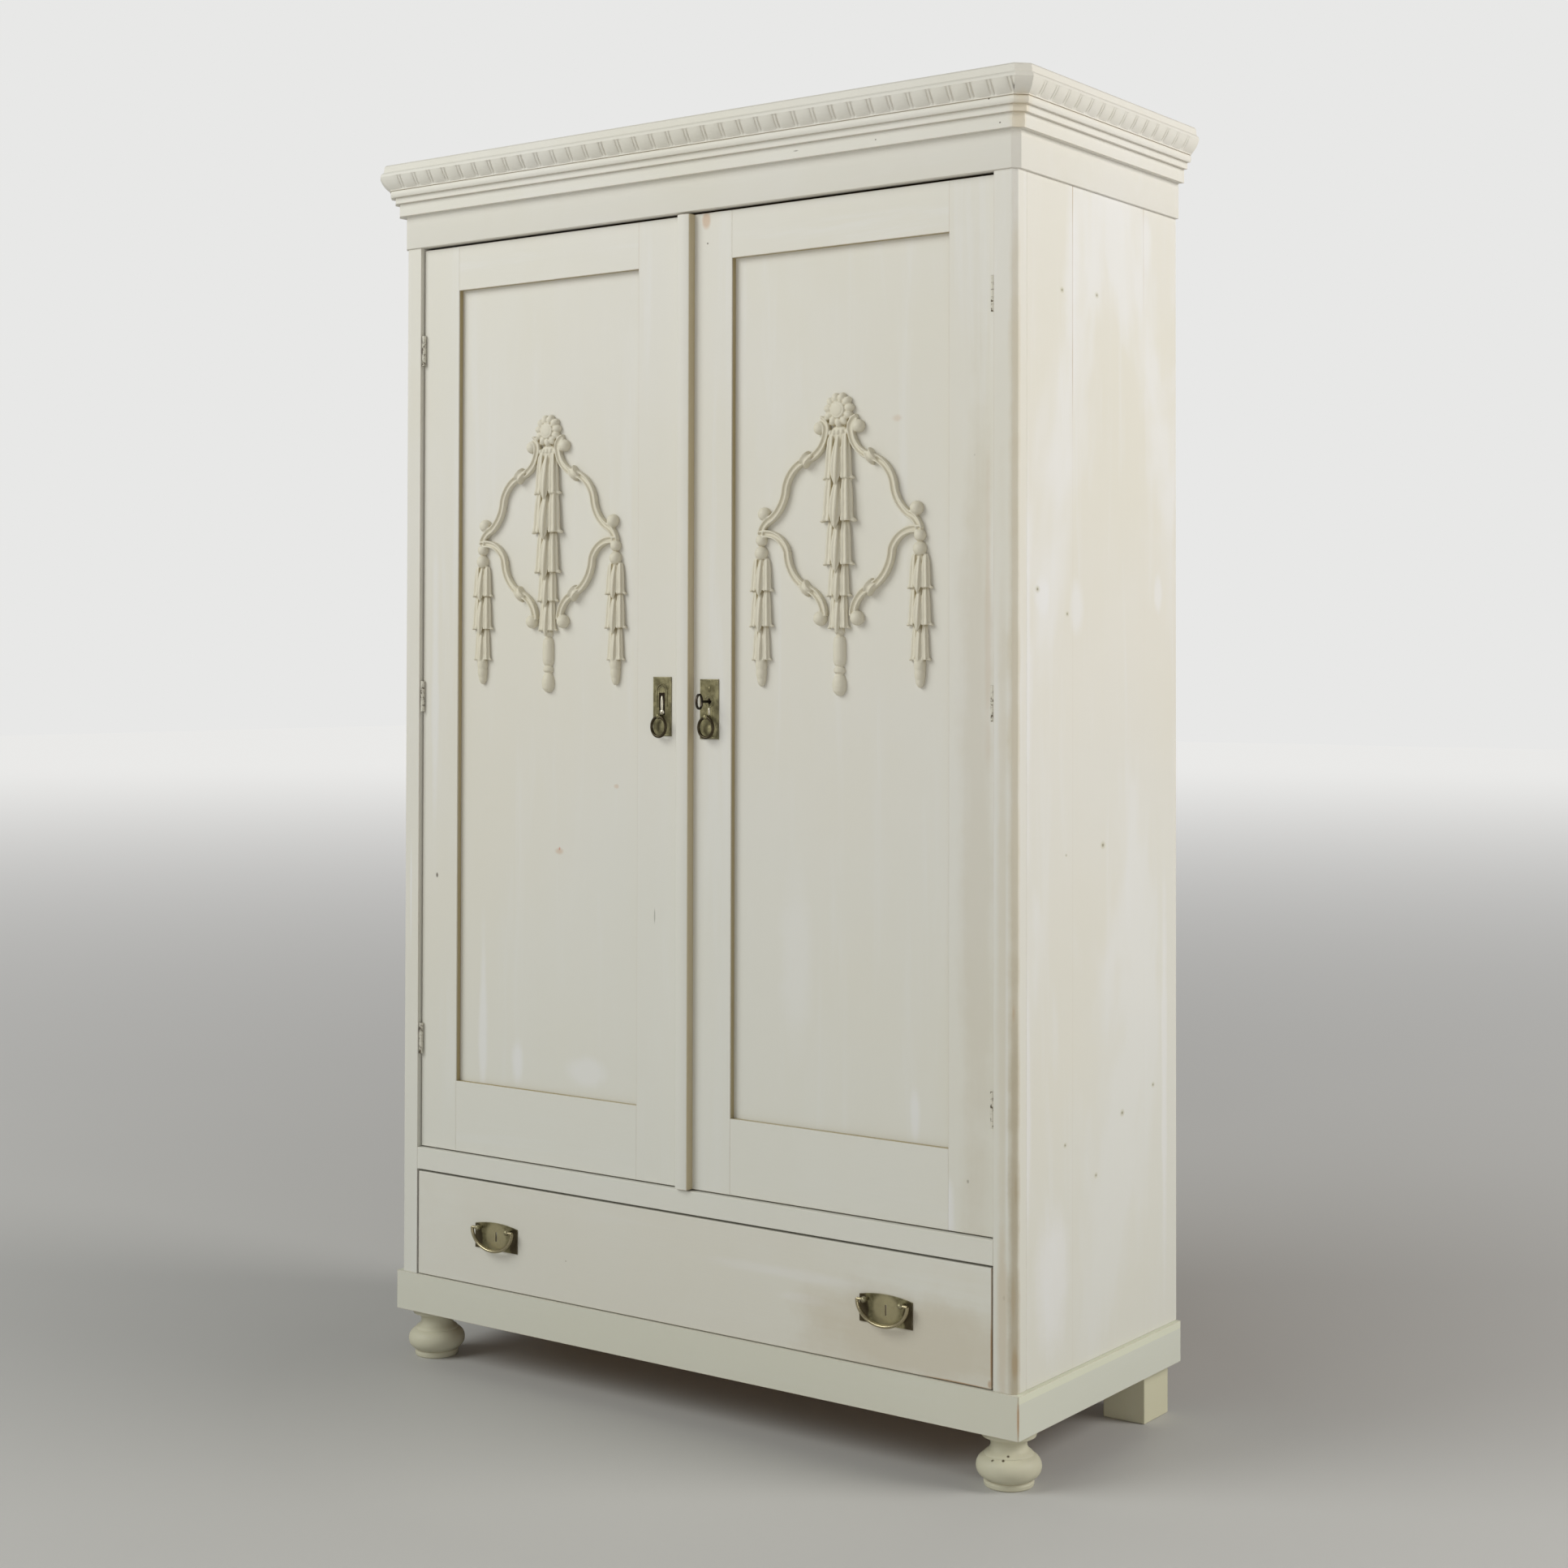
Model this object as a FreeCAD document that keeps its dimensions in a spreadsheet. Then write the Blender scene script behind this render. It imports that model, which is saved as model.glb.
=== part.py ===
import FreeCAD, Part
import Sketcher
import os
import re

# Linen cupboard: a two-door wardrobe on a plinth with one drawer below the doors.
# Millimetres. X runs across the width, -Y is the front, Z is up from the floor.
# The origin is on the floor at the centre of the outline seen from above.

SHELF_COUNT = 3
BACK_BOARD_COUNT = 7
KNUCKLE_COUNT = 5
HINGE_LEVELS = ("low", "middle", "high")

DRIVING = {
    # carcass sides, front stiles and back
    "side_outer": 584.0,
    "side_thick": 18.0,
    "front_plane": -224.5,
    "stile_set_back": 3.0,
    "stile_thick": 30.0,
    "stile_wide": 35.5,
    "stile_cant": 6.6,
    "carcass_back": 259.5,
    "board_thick": 16.0,
    "board_set_back": 1.5,
    "back_thick": 12.0,
    "back_gap": 0.6,
    # heights, each counted from the one below it
    "plinth_low": 78.5,
    "plinth_tall": 61.5,
    "drawer_gap": 1.0,
    "drawer_tall": 166.5,
    "rail_gap": 3.5,
    "rail_tall": 35.0,
    "door_gap_low": 2.0,
    "door_tall": 1470.0,
    "door_gap_high": 4.0,
    "floor_rise": 10.0,
    "frieze_show": 54.0,
    "cornice_tall": 83.0,
    # shelves and the strips that carry boards
    "shelf_set_back": 40.0,
    "shelf_thick": 18.0,
    "shelf_play": 1.0,
    "cleat_thick": 20.0,
    "cleat_deep": 25.0,
    "kicker_wide": 40.0,
    "kicker_deep": 30.0,
    "guide_deep": 20.0,
    # plinth
    "plinth_proud": 7.0,
    "plinth_thick": 17.5,
    "plinth_cant": 1.5,
    "rear_rail_thick": 18.0,
    # rear posts and front corner blocks
    "post_wide": 69.5,
    "post_deep": 77.0,
    "post_inset": 7.5,
    "block_wide": 75.0,
    # turned front feet
    "foot_side_inset": 27.0,
    "foot_front_inset": 31.5,
    "foot_radius": 46.0,
    "spigot_radius": 12.0,
    "spigot_rise": 25.0,
    # crown
    "frieze_proud": 4.5,
    "frieze_thick": 18.0,
    "frieze_cant": 10.2,
    "crown_thick": 16.0,
    "crown_set_down": 2.0,
    "cornice_out": 35.0,
    # doors
    "door_set_back": 8.0,
    "door_thick": 22.0,
    "door_gap_side": 2.0,
    "right_meet": 6.8,
    "meet_gap": 2.0,
    "left_hinge_stile_wide": 76.5,
    "right_hinge_stile_wide": 75.5,
    "left_lock_stile_wide": 83.2,
    "right_lock_stile_wide": 94.8,
    "bottom_rail_tall": 113.0,
    "top_rail_tall": 72.0,
    "panel_set_back": 10.0,
    "panel_thick": 9.0,
    "groove_deep": 10.0,
    "panel_play": 1.0,
    "tenon_long": 40.0,
    "tenon_thick": 8.0,
    "tenon_shoulder": 20.0,
    "tenon_set_back": 7.0,
    # cover strip over the meeting edges
    "strip_wide": 24.2,
    "strip_proud": 15.0,
    "strip_flat": 6.0,
    # hinges
    "knuckle_inset": 0.3,
    "hinge_proud": 3.5,
    "hinge_long": 50.0,
    "hinge_low_rise": 176.0,
    "hinge_high_drop": 166.0,
    "hinge_middle_drop": 4.0,
    "knuckle_radius": 3.2,
    "knuckle_play": 0.2,
    "pin_radius": 1.5,
    "pin_clearance": 0.05,
    "leaf_thick": 1.8,
    "leaf_deep": 16.5,
    "leaf_gap": 0.4,
    # key, lock plates and ring pulls
    "key_rise": 733.5,
    "key_inset": 55.1,
    "left_plate_inset": 33.5,
    "left_plate_drop": 8.5,
    "right_plate_drop": 11.5,
    "plate_wide": 35.0,
    "plate_tall": 90.0,
    "plate_thick": 1.6,
    "ring_radius": 15.9,
    "ring_wire_radius": 1.6,
    "ring_drop": 23.1,
    "ring_stand_off": 10.0,
    "eye_radius": 4.4,
    "eye_hole_radius": 2.2,
    "eye_post_radius": 2.6,
    "key_stem_radius": 2.0,
    "key_stem_front": 18.0,
    "key_stem_in": 33.0,
    "bow_half_deep": 8.0,
    "bow_half_tall": 12.0,
    "bow_wire": 2.6,
    "bit_long": 9.0,
    "bit_thick": 2.0,
    "bit_deep": 5.0,
    "key_clearance": 0.6,
    "keyhole_slot": 3.2,
    # lock case and bolt
    "case_inset": 8.8,
    "case_wide": 72.0,
    "case_drop": 23.5,
    "case_tall": 54.0,
    "case_deep": 16.0,
    "case_wall": 2.5,
    "bolt_gap": 2.0,
    "bolt_tall": 10.0,
    "bolt_deep": 5.0,
    "bolt_set_back": 4.0,
    "bolt_show": 6.0,
    "bolt_long": 60.0,
    "bolt_clearance": 0.4,
    # upper and lower bolts of the left door
    "rod_at": 60.0,
    "rod_stand_off": 12.0,
    "rod_radius": 4.0,
    "rod_long": 108.0,
    "rod_clearance": 0.3,
    "rod_tip_gap": 2.0,
    "rod_hole_clearance": 0.8,
    "rod_guide_wide": 24.0,
    "rod_guide_tall": 8.0,
    "rod_guide_cover": 7.0,
    "rod_guide_tip_gap": 10.0,
    "rod_guide_spacing": 80.0,
    "rod_plate_thick": 2.0,
    "rod_knob_radius": 3.5,
    "rod_knob_long": 14.0,
    # drawer
    "drawer_set_back": 3.5,
    "drawer_gap_side": 2.5,
    "drawer_front_thick": 22.0,
    "drawer_side_thick": 14.0,
    "drawer_side_drop": 17.5,
    "drawer_room": 17.5,
    "drawer_lap": 8.0,
    "drawer_bottom_rise": 10.0,
    "drawer_bottom_thick": 8.0,
    "drawer_groove": 6.0,
    "drawer_tail": 12.0,
    "drawer_play": 1.0,
    # drawer pulls
    "pull_at": 372.5,
    "pull_margin": 14.0,
    "pull_drop": 34.0,
    "pull_shoulder_rise": 4.5,
    "pull_arch": 5.0,
    "pull_thick": 1.5,
    "pull_slot_drop": 5.0,
    "pull_slot_tall": 15.0,
    "pull_slot_wide": 3.0,
    "bail_rise": 95.0,
    "bail_stand_off": 11.5,
    "bail_post_at": 31.0,
    "bail_ball_radius": 4.5,
    "bail_post_radius": 2.4,
    "bail_wire_radius": 1.5,
    "bail_hole_clearance": 0.4,
    "bail_overhang": 12.5,
    "bail_drop": 32.5,
    "bail_elbow": 4.0,
    "bail_tail": 2.0,
    # carved ornament of the panels
    "rosette_drop": 239.0,
    "ornament_margin": 49.5,
    # one overrun for tools that cut right through
    "overrun": 5.0,
}

# Places that follow from the driving dimensions, each a formula of the names above.
WORKED_OUT = {
    "side_inner": "side_outer - side_thick",
    "stile_inner": "side_outer - stile_wide",
    "stile_front": "front_plane + stile_set_back",
    "stile_back": "stile_front + stile_thick",
    "inner_front": "stile_back + board_set_back",
    "back_front": "carcass_back - back_thick",
    "shelf_front": "inner_front + shelf_set_back",
    "base_top": "plinth_low + plinth_tall",
    "bottom_low": "base_top - board_thick",
    "drawer_front_low": "base_top + drawer_gap",
    "drawer_front_high": "drawer_front_low + drawer_tall",
    "rail_low": "drawer_front_high + rail_gap",
    "rail_high": "rail_low + rail_tall",
    "door_low": "rail_high + door_gap_low",
    "door_high": "door_low + door_tall",
    "body_top": "door_high + door_gap_high",
    "floor_high": "rail_high + floor_rise",
    "floor_low": "floor_high - board_thick",
    "ceiling_low": "body_top - board_thick",
    "shelf_pitch": f"(ceiling_low - floor_high + shelf_thick) / {SHELF_COUNT + 1}",
    "plinth_outer": "side_outer + plinth_proud",
    "plinth_inner": "plinth_outer - plinth_thick",
    "plinth_back": "front_plane + plinth_thick",
    "post_inner": "plinth_inner - post_wide",
    "post_back": "carcass_back - post_inset",
    "foot_across": "plinth_inner - foot_side_inset",
    "foot_along": "plinth_back + foot_front_inset",
    "frieze_outer": "side_outer + frieze_proud",
    "frieze_inner": "frieze_outer - frieze_thick",
    "cornice_low": "body_top + frieze_show",
    "cornice_top": "cornice_low + cornice_tall",
    "crown_high": "cornice_top - crown_set_down",
    "crown_low": "crown_high - crown_thick",
    "door_front": "front_plane + door_set_back + stile_set_back",
    "door_back": "door_front + door_thick",
    "door_outer": "stile_inner - door_gap_side",
    "left_meet": "right_meet + meet_gap",
    "left_panel_outer": "door_outer - left_hinge_stile_wide",
    "left_panel_inner": "left_meet + left_lock_stile_wide",
    "right_panel_outer": "door_outer - right_hinge_stile_wide",
    "right_panel_inner": "right_lock_stile_wide - right_meet",
    "opening_low": "door_low + bottom_rail_tall",
    "opening_high": "door_high - top_rail_tall",
    "panel_front": "door_front + panel_set_back",
    "panel_back": "panel_front + panel_thick",
    "tenon_front": "door_front + tenon_set_back",
    "tenon_back": "tenon_front + tenon_thick",
    "strip_high_edge": "strip_wide - right_meet",
    "hinge_axis_across": "stile_inner - knuckle_radius - knuckle_inset",
    "hinge_axis_along": "door_front - hinge_proud",
    "hinge_low_at": "door_low + hinge_low_rise",
    "hinge_high_at": "door_high - hinge_high_drop",
    "hinge_middle_at": "(hinge_low_at + hinge_high_at) / 2 - hinge_middle_drop",
    "leaf_sunk": "leaf_thick - (door_gap_side - leaf_gap) / 2",
    "leaf_back": "door_front + leaf_deep",
    "frame_leaf_outer": "stile_inner + leaf_sunk",
    "frame_leaf_inner": "frame_leaf_outer - leaf_thick",
    "door_leaf_inner": "door_outer - leaf_sunk",
    "door_leaf_outer": "door_leaf_inner + leaf_thick",
    "leaf_front": "hinge_axis_along + knuckle_radius + knuckle_play",
    "bore_radius": "pin_radius + pin_clearance",
    "tongue_front": "hinge_axis_along + bore_radius + knuckle_play",
    "knuckle_long": f"hinge_long / {KNUCKLE_COUNT}",
    "key_at": "key_inset - right_meet",
    "key_height": "door_low + key_rise",
    "key_bow_along": "door_front - key_stem_front - bow_half_deep",
    "key_hole_radius": "key_stem_radius + key_clearance",
    "left_plate_at": "left_meet + left_plate_inset",
    "left_plate_middle": "key_height - left_plate_drop",
    "right_plate_middle": "key_height - right_plate_drop",
    "plate_front": "door_front - plate_thick",
    "ring_along": "door_front - ring_stand_off",
    "ring_pivot": "key_height - ring_drop",
    "case_left": "case_inset - right_meet",
    "case_right": "case_left + case_wide",
    "case_low": "key_height - case_drop",
    "case_high": "case_low + case_tall",
    "case_back": "door_back + case_deep",
    "case_inner_back": "case_back - case_wall",
    "bolt_low": "key_height + bit_long + bolt_gap",
    "bolt_left": "case_left - bolt_show",
    "bolt_front": "door_back + bolt_set_back",
    "rod_along": "door_back + rod_stand_off",
    "rod_guide_back": "rod_along + rod_guide_cover",
    "lower_tip": "floor_high + rod_tip_gap",
    "near_guide": "lower_tip + rod_guide_tip_gap",
    "far_guide": "near_guide + rod_guide_spacing",
    "drawer_front": "front_plane + drawer_set_back",
    "drawer_outer": "stile_inner - drawer_gap_side",
    "drawer_inner": "drawer_outer - drawer_side_thick",
    "drawer_front_back": "drawer_front + drawer_front_thick",
    "drawer_side_front": "drawer_front + drawer_lap",
    "drawer_side_high": "drawer_front_high - drawer_side_drop",
    "drawer_back_end": "back_front - drawer_room",
    "drawer_bottom_low": "base_top + drawer_bottom_rise",
    "drawer_bottom_high": "drawer_bottom_low + drawer_bottom_thick",
    "bail_pivot": "drawer_front_low + bail_rise",
    "bail_along": "drawer_front - bail_stand_off",
    "bail_end_at": "bail_post_at - bail_tail",
    "bail_half_wide": "bail_post_at + bail_overhang",
    "bail_elbow_across": "bail_half_wide - bail_elbow",
    "bail_half_turn": "2 * atan((bail_drop - 2 * bail_elbow) / bail_elbow_across)",
    "bail_curve": "bail_elbow_across / sin(bail_half_turn) + bail_elbow",
    "bail_curve_height": "bail_pivot - bail_drop + bail_curve",
    "pull_half_wide": "bail_post_at + pull_margin",
    "pull_low": "bail_pivot - pull_drop",
    "pull_shoulder": "bail_pivot + pull_shoulder_rise",
    "pull_high": "pull_shoulder + pull_arch",
    "pull_front": "drawer_front - pull_thick",
    "pull_slot_high": "bail_pivot - pull_slot_drop",
    "pull_slot_low": "pull_slot_high - pull_slot_tall",
    "left_ornament_at": "-(left_panel_inner + left_panel_outer) / 2",
    "right_ornament_at": "(right_panel_inner + right_panel_outer) / 2",
    "ornament_reach": "(left_panel_outer - left_panel_inner) / 2 - ornament_margin",
    "rosette_height": "opening_high - rosette_drop",
    "cant_middle_across": "frieze_outer - frieze_cant / 2",
    "cant_middle_along": "front_plane + frieze_cant / 2",
}

# Outline of a turned foot: shares of its radius and of its height up to the plinth. Two more
# shares give a point that a curve passes through on its way to the next corner.
FOOT_SHARES = [
    (0.74, 0.0),
    (0.74, 0.083),
    (0.717, 0.102),
    (0.826, 0.102, 1.0, 0.318),
    (0.717, 0.586, 0.554, 0.7),
    (0.848, 0.904),
    (0.848, 1.0),
]

# Outline of the cornice: shares of how far it stands out and of its height, written alike.
CORNICE_SHARES = [
    (0.0, 0.0),
    (0.271, 0.0),
    (0.271, 0.247),
    (0.429, 0.247),
    (0.429, 0.367),
    (0.571, 0.367, 0.614, 0.434),
    (0.571, 0.5),
    (0.629, 0.5),
    (0.629, 0.518, 0.857, 0.627),
    (1.0, 0.765),
    (0.971, 0.813),
    (0.871, 0.855),
    (0.843, 0.97),
    (0.771, 1.0),
    (0.0, 1.0),
]

doc = FreeCAD.newDocument("linen_cupboard")
sizes = doc.addObject("Spreadsheet::Sheet", "sizes")
for row, (alias, value) in enumerate(DRIVING.items(), start=1):
    sizes.set(f"A{row}", alias)
    sizes.set(f"B{row}", str(value))
    sizes.setAlias(f"B{row}", alias)
for row, (alias, formula) in enumerate(WORKED_OUT.items(), start=1):
    sizes.set(f"D{row}", alias)
    sizes.set(f"E{row}", "=" + formula)
    sizes.setAlias(f"E{row}", alias)
doc.recompute()

TRIAL_CELL = "G1"
RIGHT, LEFT = 1, -1
nodes = {}


def bound(formula):
    """The formula with each name of the sheet written as its cell."""
    def cell(match):
        word = match.group(0)
        return f"sizes.{word}" if word in DRIVING or word in WORKED_OUT else word
    return re.sub(r"[a-z_]+", cell, formula)


def number(formula):
    """The value of a formula, worked out by the sheet."""
    sizes.set(TRIAL_CELL, "=" + formula)
    sizes.recompute()
    value = sizes.get(TRIAL_CELL)
    return float(getattr(value, "Value", value))


def bind(piece, **formulas):
    """Bind properties such as Length or Placement__Base__x to formulas of the sheet."""
    for name, formula in formulas.items():
        piece.setExpression(name.replace("__", "."), bound(formula))
    return piece


def place(piece, across="0", along="0", high="0"):
    return bind(piece, Placement__Base__x=across, Placement__Base__y=along, Placement__Base__z=high)


def keep(label, piece):
    """Make a finished object the sub-part with this name."""
    piece.Label = label
    nodes[label] = piece
    return piece


def facing(hand, inner, outer):
    """The lower and higher x of a piece that reaches from inner to outer on one side."""
    return (inner, outer) if hand == RIGHT else (f"-({outer})", f"-({inner})")


def board(name, across, along, high):
    """A box between two formulas on each axis."""
    piece = doc.addObject("Part::Box", name)
    bind(
        piece,
        Length=f"({across[1]}) - ({across[0]})",
        Width=f"({along[1]}) - ({along[0]})",
        Height=f"({high[1]}) - ({high[0]})",
    )
    return place(piece, across[0], along[0], high[0])


def rod(name, axis, radius, start, end, first="0", second="0"):
    """A cylinder along x, y or z from start to end; first and second are its other two places."""
    piece = doc.addObject("Part::Cylinder", name)
    bind(piece, Radius=radius, Height=f"({end}) - ({start})")
    if axis == "x":
        piece.Placement.Rotation = FreeCAD.Rotation(FreeCAD.Vector(0, 1, 0), 90)
        return place(piece, start, first, second)
    if axis == "y":
        piece.Placement.Rotation = FreeCAD.Rotation(FreeCAD.Vector(1, 0, 0), -90)
        return place(piece, first, start, second)
    return place(piece, first, second, start)


def ball(name, radius, across, along, high):
    return place(bind(doc.addObject("Part::Sphere", name), Radius=radius), across, along, high)


def joined(name, pieces):
    piece = doc.addObject("Part::MultiFuse", name)
    piece.Shapes = pieces
    piece.Refine = True
    return piece


def without(name, base, tools):
    """The base with every tool taken away."""
    piece = doc.addObject("Part::Cut", name)
    piece.Base = base
    piece.Tool = tools[0] if len(tools) == 1 else joined(name + "_tools", tools)
    piece.Refine = True
    return piece


def group(name, pieces):
    """Several separate solids of one kind in one node."""
    piece = doc.addObject("Part::Compound", name)
    piece.Links = pieces
    return piece


def mirrored(name, source):
    """The same piece on the other side of the cupboard's middle."""
    piece = doc.addObject("Part::Mirroring", name)
    piece.Source = source
    piece.Normal = FreeCAD.Vector(1, 0, 0)
    return piece


def shared_out(shares, width, height, base="0"):
    """Corners of an outline as formulas, from shares of a width and of a height above a base."""
    def corner(places):
        return tuple(
            f"{share} * {height} + {base}" if index % 2 else f"{share} * {width}"
            for index, share in enumerate(places)
        )
    return [corner(places) for places in shares]


def hold(sketch, geometry, position, across, up):
    """Fix a point of a sketch at two formulas."""
    for kind, axis_line, formula in (("DistanceX", -2, across), ("DistanceY", -1, up)):
        value = number(formula)
        if value == 0:
            sketch.addConstraint(Sketcher.Constraint("PointOnObject", geometry, position, axis_line))
        else:
            index = sketch.addConstraint(Sketcher.Constraint(kind, -1, 1, geometry, position, value))
            sketch.setExpression(f"Constraints[{index}]", bound(formula))


def draw(sketch, corners, closed=True):
    """Draw lines through corners given as two formulas each; four formulas give an arc's
    start and a point that the arc passes through on its way to the next corner."""
    spots = [FreeCAD.Vector(number(corner[0]), number(corner[1]), 0) for corner in corners]
    starts, ends = [], []
    for index in range(len(corners) if closed else len(corners) - 1):
        here, there = spots[index], spots[(index + 1) % len(spots)]
        if len(corners[index]) == 2:
            line = sketch.addGeometry(Part.LineSegment(here, there))
            starts.append((line, 1))
            ends.append((line, 2))
            continue
        middle = FreeCAD.Vector(number(corners[index][2]), number(corners[index][3]), 0)
        turns_left = (middle - here).cross(there - middle).z > 0
        path = (here, middle, there) if turns_left else (there, middle, here)
        arc = sketch.addGeometry(Part.Arc(*path))
        starts.append((arc, 1 if turns_left else 2))
        ends.append((arc, 2 if turns_left else 1))
        point = sketch.addGeometry(Part.Point(middle), True)
        hold(sketch, point, 1, corners[index][2], corners[index][3])
        sketch.addConstraint(Sketcher.Constraint("PointOnObject", point, 1, arc))
    for index, (geometry, position) in enumerate(starts):
        hold(sketch, geometry, position, corners[index][0], corners[index][1])
    for index, (geometry, position) in enumerate(ends):
        if index + 1 < len(starts) or closed:
            follower = starts[(index + 1) % len(starts)]
            sketch.addConstraint(Sketcher.Constraint("Coincident", geometry, position, *follower))
        else:
            hold(sketch, geometry, position, corners[-1][0], corners[-1][1])
    return sketch


def body_sketch(body, name, role, corners):
    """A closed sketch on one of a body's own origin planes."""
    sketch = body.newObject("Sketcher::SketchObject", name)
    origin_plane = next(plane for plane in body.Origin.OriginFeatures if plane.Role == role)
    sketch.AttachmentSupport = (origin_plane, [""])
    sketch.MapMode = "FlatFace"
    return draw(sketch, corners)


def padded(name, role, corners, length, across="0", along="0", high="0", reverse=False):
    """A body padded from an outline; its placement carries it to where it sits."""
    body = doc.addObject("PartDesign::Body", name)
    sketch = body_sketch(body, name + "_outline", role, corners)
    pad = body.newObject("PartDesign::Pad", name + "_pad")
    pad.Profile = sketch
    pad.Reversed = reverse
    bind(pad, Length=length)
    body.Tip = pad
    return place(body, across, along, high)


def turned(name, corners, across, along, high):
    """A body turned about its own vertical axis."""
    body = doc.addObject("PartDesign::Body", name)
    sketch = body_sketch(body, name + "_outline", "XZ_Plane", corners)
    turning = body.newObject("PartDesign::Revolution", name + "_turning")
    turning.Profile = sketch
    turning.ReferenceAxis = (sketch, ["V_Axis"])
    turning.Angle = 360
    body.Tip = turning
    return place(body, across, along, high)


def make_sides():
    """Two side boards, and the front stiles with their canted corner and hinge seats."""
    right = board(
        "side", ("side_inner", "side_outer"), ("stile_back", "carcass_back"), ("base_top", "body_top")
    )
    keep("side_right", right)
    keep("side_left", mirrored("side_mirrored", right))
    plan = [
        ("stile_inner", "stile_front"),
        ("side_outer - stile_cant", "stile_front"),
        ("side_outer", "stile_front + stile_cant"),
        ("side_outer", "stile_back"),
        ("stile_inner", "stile_back"),
    ]
    post = padded("stile_post", "XY_Plane", plan, "body_top - base_top", high="base_top")
    seats = [
        board(
            f"stile_seat_{level}",
            ("stile_inner - overrun", "frame_leaf_outer"),
            ("hinge_axis_along", "leaf_back"),
            (f"hinge_{level}_at - hinge_long / 2", f"hinge_{level}_at + hinge_long / 2"),
        )
        for level in HINGE_LEVELS
    ]
    right = without("stile", post, seats)
    keep("stile_right", right)
    keep("stile_left", mirrored("stile_mirrored", right))


def make_boards():
    """The rail, the boards that lie across the carcass, the back boards and the shelves."""
    inner = ("-side_inner", "side_inner")
    depth = ("inner_front", "back_front")
    rod_across = "-rod_at"
    keep("mid_rail", board(
        "rail", ("-stile_inner", "stile_inner"), ("stile_front", "stile_back"), ("rail_low", "rail_high")
    ))
    keep("bottom_board", board(
        "bottom", ("-plinth_inner", "plinth_inner"), ("plinth_back", "carcass_back"),
        ("bottom_low", "base_top"),
    ))
    for label, low, high in (
        ("floor_board", "floor_low", "floor_high"),
        ("ceiling_board", "ceiling_low", "body_top"),
    ):
        plank = board(label + "_plank", inner, depth, (low, high))
        hole = rod(
            label + "_bolt_hole", "z", "rod_radius + rod_hole_clearance",
            f"{low} - overrun", f"{high} + overrun", rod_across, "rod_along",
        )
        keep(label, without(label + "_drilled", plank, [hole]))
    width = f"(2 * side_inner - {BACK_BOARD_COUNT - 1} * back_gap) / {BACK_BOARD_COUNT}"
    planks = []
    for index in range(BACK_BOARD_COUNT):
        edge = f"{index} * ({width} + back_gap) - side_inner"
        planks.append(board(
            f"back_{index}", (edge, f"{edge} + {width}"), ("back_front", "carcass_back"),
            ("base_top", "body_top"),
        ))
    keep("back_boards", group("back_planks", planks))
    shelves = []
    for index in range(1, SHELF_COUNT + 1):
        top = f"floor_high + {index} * shelf_pitch"
        shelves.append(board(
            f"shelf_{index}",
            ("-side_inner + shelf_play", "side_inner - shelf_play"),
            ("shelf_front", "back_front"),
            (f"{top} - shelf_thick", top),
        ))
    keep("shelves", group("shelf_boards", shelves))


def make_cleats():
    """Strips on the insides of the sides: under the shelves, under the floor board, and
    the two that guide the drawer."""
    strips = []
    for hand, side in ((RIGHT, "right"), (LEFT, "left")):
        for index in range(1, SHELF_COUNT + 1):
            top = f"floor_high + {index} * shelf_pitch - shelf_thick"
            strips.append(board(
                f"cleat_{side}_{index}",
                facing(hand, "side_inner - cleat_thick", "side_inner"),
                ("shelf_front", "back_front"),
                (f"{top} - cleat_deep", top),
            ))
        strips.append(board(
            f"kicker_{side}",
            facing(hand, "side_inner - kicker_wide", "side_inner"),
            ("stile_back", "back_front"),
            ("floor_low - kicker_deep", "floor_low"),
        ))
        strips.append(board(
            f"guide_{side}",
            facing(hand, "drawer_outer + drawer_play", "side_inner"),
            ("stile_back", "back_front"),
            ("base_top", "base_top + guide_deep"),
        ))
    keep("side_cleats", group("cleats", strips))


def mitred_frame(name, outer, thick, cant, low, high):
    """A front board and two returns, mitred through the middle of each canted corner."""
    front = "front_plane"
    inner = f"{outer} - {thick}"
    back = f"{front} + {thick}"
    middle_across = f"{outer} - {cant} / 2"
    middle_along = f"{front} + {cant} / 2"
    length = f"({high}) - ({low})"
    front_plan = [
        (f"{cant} - {outer}", front),
        (f"{outer} - {cant}", front),
        (middle_across, middle_along),
        (inner, back),
        (f"-({inner})", back),
        (f"-({middle_across})", middle_along),
    ]
    side_plan = [
        (middle_across, middle_along),
        (outer, f"{front} + {cant}"),
        (outer, "carcass_back"),
        (inner, "carcass_back"),
        (inner, back),
    ]
    front_board = padded(name + "_front_board", "XY_Plane", front_plan, length, high=low)
    side_board = padded(name + "_side_board", "XY_Plane", side_plan, length, high=low)
    keep(name + "_front", front_board)
    keep(name + "_right", side_board)
    keep(name + "_left", mirrored(name + "_side_mirrored", side_board))


def make_plinth():
    mitred_frame("plinth", "plinth_outer", "plinth_thick", "plinth_cant", "plinth_low", "base_top")
    keep("plinth_rear", board(
        "rear_rail", ("-post_inner", "post_inner"), ("post_back - rear_rail_thick", "post_back"),
        ("plinth_low", "bottom_low"),
    ))


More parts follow.
